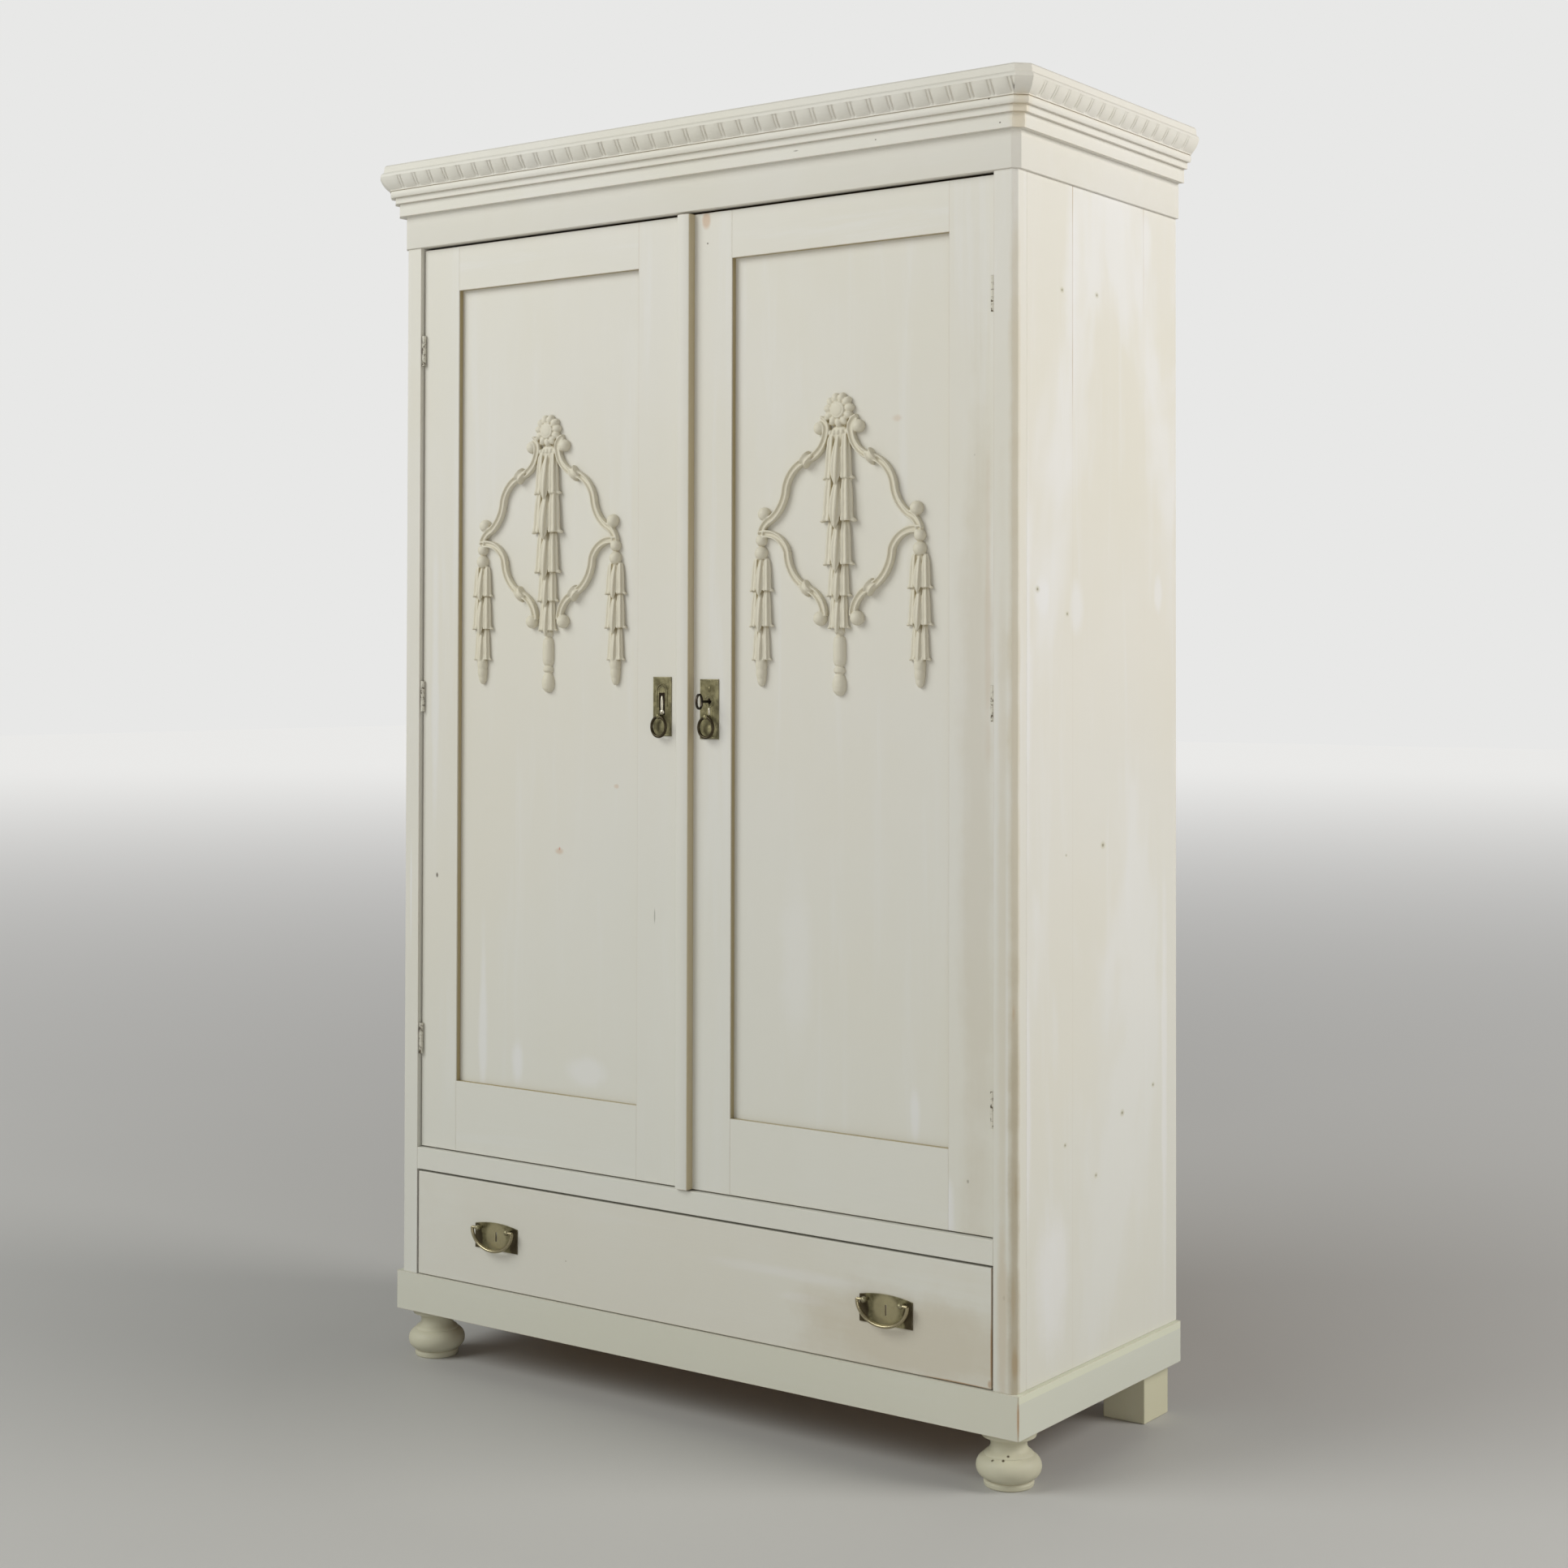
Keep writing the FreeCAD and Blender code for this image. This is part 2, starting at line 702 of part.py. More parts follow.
def make_feet():
    """Turned feet under the front corner blocks, and square posts at the rear."""
    outline = [("0", "0")] + shared_out(FOOT_SHARES, "foot_radius", "plinth_low") + [
        ("spigot_radius", "plinth_low"),
        ("spigot_radius", "plinth_low + spigot_rise"),
        ("0", "plinth_low + spigot_rise"),
    ]
    right = turned("foot_right", outline, "foot_across", "foot_along", "0")
    keep("bun_feet", group("turned_feet", [right, mirrored("foot_left", right)]))
    rear = board(
        "post", ("post_inner", "plinth_inner"), ("post_back - post_deep", "post_back"), ("0", "bottom_low"),
    )
    keep("block_feet", group("posts", [rear, mirrored("post_left", rear)]))
    block = board(
        "block", ("plinth_inner - block_wide", "plinth_inner"), ("plinth_back", "plinth_back + block_wide"),
        ("plinth_low", "bottom_low"),
    )
    socket = rod(
        "socket", "z", "spigot_radius", "plinth_low - overrun", "plinth_low + spigot_rise",
        "foot_across", "foot_along",
    )
    drilled = without("block_drilled", block, [socket])
    keep("corner_blocks", group("blocks", [drilled, mirrored("block_left", drilled)]))


def make_crown():
    """The frieze boards, the top board and the moulding that runs round three sides."""
    mitred_frame("frieze", "frieze_outer", "frieze_thick", "frieze_cant", "body_top", "crown_low")
    keep("frieze_rear", board(
        "frieze_rear_board", ("-frieze_inner", "frieze_inner"),
        ("carcass_back - frieze_thick", "carcass_back"), ("body_top", "crown_low"),
    ))
    plan = [
        ("frieze_cant - frieze_outer", "front_plane"),
        ("frieze_outer - frieze_cant", "front_plane"),
        ("frieze_outer", "front_plane + frieze_cant"),
        ("frieze_outer", "carcass_back"),
        ("-frieze_outer", "carcass_back"),
        ("-frieze_outer", "front_plane + frieze_cant"),
    ]
    keep("crown_board", padded(
        "crown_plank", "XY_Plane", plan, "crown_thick", high="crown_low"
    ))
    profile = shared_out(CORNICE_SHARES, "cornice_out", "cornice_tall", "cornice_low")
    outward = FreeCAD.Vector(1, -1, 0)
    outward.normalize()
    upward = FreeCAD.Vector(0, 0, 1)
    runs = {
        "front": [
            ("cant_middle_across", "cant_middle_along"),
            ("frieze_outer - frieze_cant", "front_plane"),
            ("frieze_cant - frieze_outer", "front_plane"),
            ("-cant_middle_across", "cant_middle_along"),
        ],
        "right": [
            ("cant_middle_across", "cant_middle_along"),
            ("frieze_outer", "front_plane + frieze_cant"),
            ("frieze_outer", "carcass_back"),
        ],
    }
    for side, path in runs.items():
        section = doc.addObject("Sketcher::SketchObject", f"cornice_{side}_section")
        draw(section, profile)
        section.Placement = FreeCAD.Placement(
            FreeCAD.Vector(), FreeCAD.Rotation(outward, upward, outward.cross(upward), "XYZ")
        )
        place(section, "cant_middle_across", "cant_middle_along")
        spine = draw(doc.addObject("Sketcher::SketchObject", f"cornice_{side}_path"), path, closed=False)
        moulding = doc.addObject("Part::Sweep", f"cornice_{side}_moulding")
        moulding.Sections = [section]
        moulding.Spine = (spine, [f"Edge{index}" for index in range(1, len(path))])
        moulding.Transition = "Right corner"
        moulding.Solid = True
        keep("cornice_" + side, moulding)
    keep("cornice_left", mirrored("cornice_mirrored", moulding))


def hinge_shapes():
    """Leaves of the frame and of one door with their knuckles, and the pins, on the right."""
    frame_leaves, door_leaves, pins = [], [], []
    for level in HINGE_LEVELS:
        bottom = f"hinge_{level}_at - hinge_long / 2"
        top = f"hinge_{level}_at + hinge_long / 2"
        depth, height = ("leaf_front", "leaf_back"), (bottom, top)
        frame = [board(f"frame_leaf_{level}", ("frame_leaf_inner", "frame_leaf_outer"), depth, height)]
        door = [board(f"door_leaf_{level}", ("door_leaf_inner", "door_leaf_outer"), depth, height)]
        for index in range(KNUCKLE_COUNT):
            low = f"{bottom} + {index} * knuckle_long"
            high = f"{low} + knuckle_long"
            name = f"{level}_{index}"
            if index % 2 == 0:
                tongue = (("frame_leaf_inner", "frame_leaf_outer"), ("hinge_axis_along", "leaf_front"))
                pieces = frame
            else:
                low, high = f"{low} + knuckle_play", f"{high} - knuckle_play"
                tongue = (("door_leaf_inner", "door_leaf_outer"), ("tongue_front", "leaf_front"))
                pieces = door
            pieces.append(board("tongue_" + name, *tongue, (low, high)))
            pieces.append(rod(
                "knuckle_" + name, "z", "knuckle_radius", low, high, "hinge_axis_across", "hinge_axis_along"
            ))
        for pieces, kind, leaves in ((frame, "frame", frame_leaves), (door, "door", door_leaves)):
            bore = rod(
                f"{kind}_bore_{level}", "z", "bore_radius", f"{bottom} - overrun", f"{top} + overrun",
                "hinge_axis_across", "hinge_axis_along",
            )
            blank = joined(f"{kind}_hinge_blank_{level}", pieces)
            leaves.append(without(f"{kind}_hinge_{level}", blank, [bore]))
        pins.append(rod(
            f"pin_{level}", "z", "pin_radius", bottom, top, "hinge_axis_across", "hinge_axis_along"
        ))
    return frame_leaves, door_leaves, pins


def make_hinges():
    frame_leaves, door_leaves, pins = hinge_shapes()
    frame_mirrored = [mirrored(leaf.Name + "_left", leaf) for leaf in frame_leaves]
    door_mirrored = [mirrored(leaf.Name + "_left", leaf) for leaf in door_leaves]
    pins_mirrored = [mirrored(pin.Name + "_left", pin) for pin in pins]
    keep("frame_hinge_leaves", group("frame_leaves", frame_leaves + frame_mirrored))
    keep("hinge_pins", group("pins", pins + pins_mirrored))
    keep("right_hinge_leaves", group("right_door_leaves", door_leaves))
    keep("left_hinge_leaves", group("left_door_leaves", door_mirrored))


def make_door_frame(name, hand, meet, panel_inner, panel_outer):
    """Two stiles with mortises and grooves, two rails with tenons, and the panel."""
    thickness = ("door_front", "door_back")
    height = ("door_low", "door_high")
    groove = ("panel_front", "panel_back")
    tenon = ("tenon_front", "tenon_back")
    rails = {"bottom": ("door_low", "opening_low"), "top": ("opening_high", "door_high")}
    tenons = {
        kind: (f"{low} + tenon_shoulder", f"{high} - tenon_shoulder") for kind, (low, high) in rails.items()
    }
    edges = {"hinge": (panel_outer, "door_outer"), "lock": (meet, panel_inner)}
    for kind, (near, far) in edges.items():
        blank = board(f"{name}_{kind}_blank", facing(hand, near, far), thickness, height)
        if kind == "hinge":
            slot = (f"{near} - overrun", f"{near} + groove_deep")
            socket = (f"{near} - overrun", f"{near} + tenon_long")
        else:
            slot = (f"{far} - groove_deep", f"{far} + overrun")
            socket = (f"{far} - tenon_long", f"{far} + overrun")
        tools = [board(
            f"{name}_{kind}_groove", facing(hand, *slot), groove,
            ("opening_low - groove_deep", "opening_high + groove_deep"),
        )]
        for rail, span in tenons.items():
            tools.append(board(f"{name}_{kind}_mortise_{rail}", facing(hand, *socket), tenon, span))
        if kind == "hinge":
            for level in HINGE_LEVELS:
                tools.append(board(
                    f"{name}_seat_{level}",
                    facing(hand, "door_leaf_inner", "door_outer + overrun"),
                    ("door_front - overrun", "leaf_back"),
                    (f"hinge_{level}_at - hinge_long / 2", f"hinge_{level}_at + hinge_long / 2"),
                ))
        if kind == "lock" and hand == RIGHT:
            tools += keyhole("stile_keyhole")
        keep(f"{name}_{kind}_stile", without(f"{name}_{kind}_stile_cut", blank, tools))
    for rail, (low, high) in rails.items():
        width = facing(hand, panel_inner, panel_outer)
        blank = board(f"{name}_{rail}_blank", width, thickness, (low, high))
        tongue = board(
            f"{name}_{rail}_tenon",
            facing(hand, f"{panel_inner} - tenon_long", f"{panel_outer} + tenon_long"), tenon, tenons[rail],
        )
        reach = (f"{high} - groove_deep", f"{high} + overrun") if rail == "bottom" else (
            f"{low} - overrun", f"{low} + groove_deep"
        )
        slot = board(
            f"{name}_{rail}_groove",
            facing(hand, f"{panel_inner} - overrun", f"{panel_outer} + overrun"), groove, reach,
        )
        solid = without(f"{name}_{rail}_rail_cut", joined(f"{name}_{rail}_solid", [blank, tongue]), [slot])
        keep(f"{name}_{rail}_rail", solid)
    reach = "(groove_deep - panel_play)"
    keep(f"{name}_panel", board(
        f"{name}_panel_board", facing(hand, f"{panel_inner} - {reach}", f"{panel_outer} + {reach}"),
        groove, (f"opening_low - {reach}", f"opening_high + {reach}"),
    ))


def keyhole(name):
    """A round hole for the stem and a slot below it for the bit, as tools along the depth."""
    front, back = "plate_front - overrun", "door_back + overrun"
    return [
        rod(name + "_round", "y", "key_hole_radius", front, back, "key_at", "key_height"),
        board(
            name + "_slot", ("key_at - keyhole_slot / 2", "key_at + keyhole_slot / 2"), (front, back),
            ("key_height - bit_long - key_clearance", "key_height"),
        ),
    ]


def make_lock_plate(name, across, middle, holes):
    """A plate with an eye on a post for the ring pull."""
    plate = board(
        name + "_sheet",
        (f"{across} - plate_wide / 2", f"{across} + plate_wide / 2"),
        ("plate_front", "door_front"),
        (f"{middle} - plate_tall / 2", f"{middle} + plate_tall / 2"),
    )
    post = rod(name + "_post", "y", "eye_post_radius", "ring_along", "door_front", across, "ring_pivot")
    eye = ball(name + "_eye", "eye_radius", across, "ring_along", "ring_pivot")
    hole = rod(
        name + "_eye_hole", "x", "eye_hole_radius", f"{across} - eye_radius - overrun",
        f"{across} + eye_radius + overrun", "ring_along", "ring_pivot",
    )
    keep(name, without(name + "_drilled", joined(name + "_blank", [plate, post, eye]), [hole] + holes))


def make_rings():
    for name, across in (("left_ring", "-left_plate_at"), ("right_ring", "key_at")):
        ring = doc.addObject("Part::Torus", name + "_wire")
        ring.Placement.Rotation = FreeCAD.Rotation(FreeCAD.Vector(1, 0, 0), 90)
        bind(ring, Radius1="ring_radius", Radius2="ring_wire_radius")
        keep(name, place(ring, across, "ring_along", "ring_pivot - ring_radius"))


def make_key():
    """An oval bow, a stem that passes through the plate and the stile, and the bit."""
    rings = []
    for kind, change in (("outer", "0"), ("inner", "bow_wire")):
        oval = doc.addObject("Part::Ellipse", f"bow_{kind}_oval")
        bind(oval, MajorRadius=f"bow_half_tall - {change}", MinorRadius=f"bow_half_deep - {change}")
        oval.Placement.Rotation = FreeCAD.Rotation(
            FreeCAD.Vector(0, 0, 1), FreeCAD.Vector(0, 1, 0), FreeCAD.Vector(-1, 0, 0), "XYZ"
        )
        place(oval, "key_at + bow_wire / 2", "key_bow_along", "key_height")
        disc = doc.addObject("Part::Extrusion", f"bow_{kind}")
        disc.Base = oval
        disc.DirMode = "Custom"
        disc.Dir = FreeCAD.Vector(-1, 0, 0)
        disc.Solid = True
        bind(disc, LengthFwd="bow_wire")
        rings.append(disc)
    bow = without("bow", rings[0], [rings[1]])
    stem = rod(
        "stem", "y", "key_stem_radius", "door_front - key_stem_front - bow_wire / 2",
        "door_front + key_stem_in", "key_at", "key_height",
    )
    bit = board(
        "bit", ("key_at - bit_thick / 2", "key_at + bit_thick / 2"),
        ("bolt_front", "bolt_front + bit_deep"), ("key_height - bit_long", "key_height"),
    )
    keep("key", joined("key_solid", [bow, stem, bit]))


def make_lock():
    """The case on the back of the lock stile, open towards it, and the sliding bolt."""
    shell = board(
        "case_shell", ("case_left", "case_right"), ("door_back", "case_back"), ("case_low", "case_high")
    )
    hollow = board(
        "case_hollow", ("case_left + case_wall", "case_right - case_wall"),
        ("door_back - overrun", "case_inner_back"), ("case_low + case_wall", "case_high - case_wall"),
    )
    mouth = board(
        "case_mouth", ("case_left - overrun", "case_left + case_wall + overrun"),
        ("bolt_front - bolt_clearance", "bolt_front + bolt_deep + bolt_clearance"),
        ("bolt_low - bolt_clearance", "bolt_low + bolt_tall + bolt_clearance"),
    )
    keep("lock_case", without("case", shell, [hollow, mouth]))
    keep("lock_bolt", board(
        "bolt", ("bolt_left", "bolt_left + bolt_long"), ("bolt_front", "bolt_front + bolt_deep"),
        ("bolt_low", "bolt_low + bolt_tall"),
    ))


def raised(name, source):
    """The same piece mirrored to the top of the door space."""
    piece = doc.addObject("Part::Mirroring", name)
    piece.Source = source
    piece.Normal = FreeCAD.Vector(0, 0, 1)
    return bind(piece, Base__z="(floor_high + ceiling_low) / 2")


def make_door_bolts():
    """Round bolts at the bottom and top of the left door, each in a plate with two guides."""
    wide = ("-rod_at - rod_guide_wide / 2", "-rod_at + rod_guide_wide / 2")
    pieces = [board(
        "bolt_plate", wide, ("door_back", "door_back + rod_plate_thick"),
        ("near_guide", "far_guide + rod_guide_tall"),
    )]
    for start in ("near_guide", "far_guide"):
        pieces.append(board(
            start + "_block", wide, ("door_back", "rod_guide_back"), (start, f"{start} + rod_guide_tall")
        ))
    bore = rod(
        "guide_bore", "z", "rod_radius + rod_clearance", "lower_tip - overrun",
        "lower_tip + rod_long + overrun", "-rod_at", "rod_along",
    )
    guides = without("lower_guides", joined("guide_blank", pieces), [bore])
    keep("left_bolt_guides", group("bolt_guides", [guides, raised("upper_guides", guides)]))
    shaft = rod("shaft", "z", "rod_radius", "lower_tip", "lower_tip + rod_long", "-rod_at", "rod_along")
    knob = rod(
        "knob", "y", "rod_knob_radius", "rod_along", "rod_along + rod_knob_long", "-rod_at",
        "(near_guide + far_guide + rod_guide_tall) / 2",
    )
    lower = keep("lower_bolt", joined("lower_bolt_solid", [shaft, knob]))
    keep("upper_bolt", raised("upper_bolt_solid", lower))


def make_cover_strip():
    """A rounded strip on the right door over the gap between the doors."""
    middle = "(strip_high_edge - right_meet) / 2"
    plan = [
        ("-right_meet", "door_front"),
        ("-right_meet", "door_front - strip_flat", middle, "door_front - strip_proud"),
        ("strip_high_edge", "door_front - strip_flat"),
        ("strip_high_edge", "door_front"),
    ]
    keep("cover_strip", padded("strip", "XY_Plane", plan, "door_high - door_low", high="door_low"))


def make_drawer():
    """A lapped front, two grooved sides, a back and a bottom that slides in its grooves."""
    blank = board(
        "drawer_face", ("-drawer_outer", "drawer_outer"), ("drawer_front", "drawer_front_back"),
        ("drawer_front_low", "drawer_front_high"),
    )
    slot = board(
        "drawer_face_groove", ("-drawer_inner - drawer_groove", "drawer_inner + drawer_groove"),
        ("drawer_front_back - drawer_groove", "drawer_front_back + overrun"),
        ("drawer_bottom_low", "drawer_bottom_high"),
    )
    laps, sides = [], []
    for hand, name in ((RIGHT, "right"), (LEFT, "left")):
        laps.append(board(
            f"drawer_lap_{name}", facing(hand, "drawer_inner", "drawer_outer + overrun"),
            ("drawer_side_front", "drawer_front_back + overrun"),
            ("base_top - overrun", "drawer_side_high"),
        ))
        plank = board(
            f"drawer_side_{name}_blank", facing(hand, "drawer_inner", "drawer_outer"),
            ("drawer_side_front", "drawer_back_end"), ("base_top", "drawer_side_high"),
        )
        groove = board(
            f"drawer_side_{name}_groove",
            facing(hand, "drawer_inner - overrun", "drawer_inner + drawer_groove"),
            ("drawer_front_back - drawer_groove", "drawer_back_end + overrun"),
            ("drawer_bottom_low", "drawer_bottom_high"),
        )
        sides.append(without(f"drawer_side_{name}", plank, [groove]))
    keep("drawer_front", without("drawer_face_cut", blank, [slot] + laps))
    keep("drawer_sides", group("drawer_side_pair", sides))
    keep("drawer_back", board(
        "drawer_tail_board", ("-drawer_inner", "drawer_inner"),
        ("drawer_back_end - 2 * drawer_tail", "drawer_back_end - drawer_tail"),
        ("drawer_bottom_high", "drawer_side_high - drawer_groove"),
    ))
    keep("drawer_bottom", board(
        "drawer_base",
        ("-drawer_inner - drawer_groove + drawer_play", "drawer_inner + drawer_groove - drawer_play"),
        ("drawer_front_back - drawer_groove", "drawer_back_end - drawer_tail"),
        ("drawer_bottom_low", "drawer_bottom_high"),
    ))


def make_pulls():
    """A plate with an arched top, two ball-headed posts and the bail that hangs in them."""
    plates = []
    outline = [
        ("-pull_half_wide", "pull_low"),
        ("pull_half_wide", "pull_low"),
        ("pull_half_wide", "pull_shoulder", "0", "pull_high"),
        ("-pull_half_wide", "pull_shoulder"),
    ]
    for name, across in (("left", "-pull_at"), ("right", "pull_at")):
        sheet = padded(
            f"{name}_pull_sheet", "XZ_Plane", outline, "pull_thick", across=across, along="drawer_front"
        )
        pieces, holes = [sheet], []
        for hand, side in ((LEFT, "a"), (RIGHT, "b")):
            spot = f"{across} + {hand} * bail_post_at"
            pieces.append(rod(
                f"{name}_post_{side}", "y", "bail_post_radius", "bail_along", "drawer_front", spot,
                "bail_pivot",
            ))
            pieces.append(ball(f"{name}_ball_{side}", "bail_ball_radius", spot, "bail_along", "bail_pivot"))
            outside = f"{across} + {hand} * (bail_post_at + bail_ball_radius + overrun)"
            inside = f"{across} + {hand} * (bail_end_at - bail_hole_clearance)"
            ends = (inside, outside) if hand == RIGHT else (outside, inside)
            holes.append(rod(
                f"{name}_ball_hole_{side}", "x", "bail_wire_radius + bail_hole_clearance", *ends,
                "bail_along", "bail_pivot",
            ))
        holes.append(board(
            f"{name}_pull_slot", (f"{across} - pull_slot_wide / 2", f"{across} + pull_slot_wide / 2"),
            ("pull_front - overrun", "drawer_front + overrun"), ("pull_slot_low", "pull_slot_high"),
        ))
        plates.append(without(f"{name}_pull_plate", joined(f"{name}_pull_blank", pieces), holes))
        make_bail(name, across)
    keep("pull_plates", group("pull_plate_pair", plates))


def bent_wire(name, curve, angle, pitch, across, high):
    """Part of a ring that stands upright across the width, starting at a pitch angle."""
    bend = doc.addObject("Part::Torus", name)
    bind(bend, Radius1=curve, Radius2="bail_wire_radius", Angle3=angle)
    bend.setExpression("Placement", bound(
        f"placement(vector({across}; bail_along; {high}); rotation(0 deg; {pitch}; 90 deg))"
    ))
    return bend


def make_bail(name, across):
    """A bowed wire: two short ends that point inwards, two elbows and one long curve."""
    elbow_turn = "180 deg - bail_half_turn"
    pieces = [bent_wire(
        f"{name}_bail_curve", "bail_curve", "2 * bail_half_turn", "90 deg + bail_half_turn",
        across, "bail_curve_height",
    )]
    for hand, side, pitch in ((LEFT, "a", "-90 deg"), (RIGHT, "b", "90 deg - bail_half_turn")):
        pieces.append(bent_wire(
            f"{name}_bail_elbow_{side}", "bail_elbow", elbow_turn, pitch,
            f"{across} + {hand} * bail_elbow_across", "bail_pivot - bail_elbow",
        ))
        low, high = facing(hand, "bail_end_at", "bail_elbow_across")
        pieces.append(rod(
            f"{name}_bail_end_{side}", "x", "bail_wire_radius", f"{across} + {low}", f"{across} + {high}",
            "bail_along", "bail_pivot",
        ))
    keep(f"{name}_bail", joined(f"{name}_bail_wire", pieces))


# Carved ornament. It keeps its proportions in a panel of any width, so its sizes are shares of
# its reach, the distance from its axis to the side drops. They come from a drawing with a reach
# of 139.5.
CARVING_SHARES = {
    "drop": 413 / 139.5,
    "rosette_radius": 25 / 139.5,
    "rosette_proud": 9 / 139.5,
    "button_radius": 10 / 139.5,
    "button_proud": 13 / 139.5,
    "scroll_radius": 4.2 / 139.5,
}
# In the tables below, distances from the axis are shares of the reach, and heights are shares
# of the drop, counted down from the middle of the rosette. Both sides are alike. Each arc of
# the scrolls is a start, a point on its way and an end.
SCROLL_ARC_SHARES = [
    ((0.158, 0.039), (0.208, 0.111), (0.409, 0.169)),
    ((0.409, 0.169), (0.602, 0.211), (0.687, 0.283)),
    ((0.687, 0.283), (0.746, 0.332), (0.867, 0.375)),
    ((0.867, 0.375), (0.953, 0.395), (1.0, 0.429)),
    ((1.0, 0.429), (0.816, 0.436), (0.659, 0.494)),
    ((0.659, 0.494), (0.581, 0.574), (0.403, 0.625)),
    ((0.403, 0.625), (0.237, 0.666), (0.183, 0.724)),
]
# Balls and beads: distance from the axis, height and radius.
BALL_SHARES = [
    (0.237, 0.063, 0.065),
    (0.961, 0.356, 0.072),
    (1.0, 0.453, 0.057),
    (1.0, 0.496, 0.079),
    (0.222, 0.738, 0.057),
    (0.409, 0.169, 0.043),
    (0.403, 0.625, 0.043),
]
# Husks, each hanging from the one above: distance from the axis, top, foot and half width.
HUSK_SHARES = [
    (0.0, 0.017, 0.243, 0.172),
    (0.0, 0.199, 0.392, 0.186),
    (0.0, 0.356, 0.553, 0.172),
    (0.0, 0.521, 0.659, 0.129),
    (0.0, 0.632, 0.768, 0.108),
    (0.0, 0.753, 0.961, 0.072),
    (1.0, 0.501, 0.632, 0.122),
    (1.0, 0.608, 0.76, 0.122),
    (1.0, 0.738, 0.88, 0.093),
    (1.0, 0.86, 0.947, 0.057),
]

FINIAL_BALL_SHARES = (0.976, 0.072)
SCROLL_RISE_SHARE = 0.67
HUSK_TOP_SHARE = 0.6
HUSK_DEPTH_SHARE = 0.45
HUSK_PLAN_SHARES = ((-1.0, 0.0), (-0.7, 0.75), (0.0, 1.0), (0.7, 0.75), (1.0, 0.0))


def husk(across, top, foot, half_width):
    """A hanging husk with a flat back, widening downwards, in five flat facets."""
    sections = []
    for high, half in ((top, half_width * HUSK_TOP_SHARE), (foot, half_width)):
        corners = [
            FreeCAD.Vector(across + share * half, -depth * half * HUSK_DEPTH_SHARE, high)
            for share, depth in HUSK_PLAN_SHARES
        ]
        sections.append(Part.makePolygon(corners + corners[:1]))
    return Part.makeLoft(sections, True, True)


def half_ball(radius, across, high):
    outward = FreeCAD.Vector(0, -1, 0)
    return Part.makeSphere(radius, FreeCAD.Vector(across, 0, high), outward, 0, 90, 360)


def scroll(places, wire_radius):
    """A round bar along one arc with a ball at its end, cut flat where it lies on the panel."""
    middle = -wire_radius * SCROLL_RISE_SHARE
    spots = [FreeCAD.Vector(across, middle, high) for across, high in places]
    path = Part.Arc(*spots).toShape()
    section = Part.Wire(Part.makeCircle(wire_radius, spots[0], path.tangentAt(path.FirstParameter)))
    bar = Part.Wire(path).makePipeShell([section], True, False)
    bar = bar.fuse(Part.makeSphere(wire_radius, spots[-1]))
    bounds = bar.BoundBox
    panel = Part.makeBox(
        bounds.XLength, wire_radius, bounds.ZLength, FreeCAD.Vector(bounds.XMin, 0, bounds.ZMin)
    )
    return bar.cut(panel)


def ornament_shape():
    """Husks, scrolls, balls and the rosette as one solid, its flat back centred on the rosette."""
    reach = number("ornament_reach")
    size = {name: share * reach for name, share in CARVING_SHARES.items()}
    drop = size["drop"]
    radius = size["rosette_radius"]
    outward = FreeCAD.Vector(0, -1, 0)
    rosette = FreeCAD.Vector(0, 0, 0)
    finial_share, finial_radius_share = FINIAL_BALL_SHARES
    shapes = [
        Part.makeCone(radius, radius * HUSK_TOP_SHARE, size["rosette_proud"], rosette, outward),
        Part.makeCylinder(size["button_radius"], size["button_proud"], rosette, outward),
        half_ball(finial_radius_share * reach, 0, -finial_share * drop),
    ]
    for away, start, end, half in HUSK_SHARES:
        for hand in (LEFT, RIGHT) if away else (RIGHT,):
            shapes.append(husk(hand * away * reach, -start * drop, -end * drop, half * reach))
    for hand in (LEFT, RIGHT):
        for away, down, ball_share in BALL_SHARES:
            shapes.append(half_ball(ball_share * reach, hand * away * reach, -down * drop))
        for arc in SCROLL_ARC_SHARES:
            places = [(hand * away * reach, -down * drop) for away, down in arc]
            shapes.append(scroll(places, size["scroll_radius"]))
    return shapes[0].multiFuse(shapes[1:]).removeSplitter()


def make_ornaments():
    carved = ornament_shape()
    for side in ("left", "right"):
        carving = doc.addObject("Part::Feature", f"{side}_carving")
        carving.Shape = carved
        keep(f"{side}_ornament", place(carving, f"{side}_ornament_at", "panel_front", "rosette_height"))


make_sides()
make_boards()
make_cleats()
make_plinth()
make_feet()
make_crown()
make_hinges()
make_door_frame("left", LEFT, "left_meet", "left_panel_inner", "left_panel_outer")
make_door_frame("right", RIGHT, "-right_meet", "right_panel_inner", "right_panel_outer")
make_lock_plate("left_lock_plate", "-left_plate_at", "left_plate_middle", [])
make_lock_plate("right_lock_plate", "key_at", "right_plate_middle", keyhole("plate_keyhole"))
make_rings()
make_key()
make_lock()
make_door_bolts()
make_cover_strip()
make_drawer()
make_pulls()
make_ornaments()

doc.recompute()

for item in doc.Objects:
    if "Invalid" in item.State or "Error" in item.State:
        raise RuntimeError(f"{item.Name} is {item.State}")
for label, piece in nodes.items():
    if piece.Shape.isNull() or not piece.Shape.isValid() or not piece.Shape.Solids:
        raise RuntimeError(f"{label} has no valid solid")

os.makedirs("parts", exist_ok=True)
for label, piece in nodes.items():
    piece.Shape.exportStep(os.path.join("parts", label + ".step"))
print(len(nodes), "sub-parts written")
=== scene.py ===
import bpy
import bmesh
import math
import random
from mathutils import Matrix, Vector


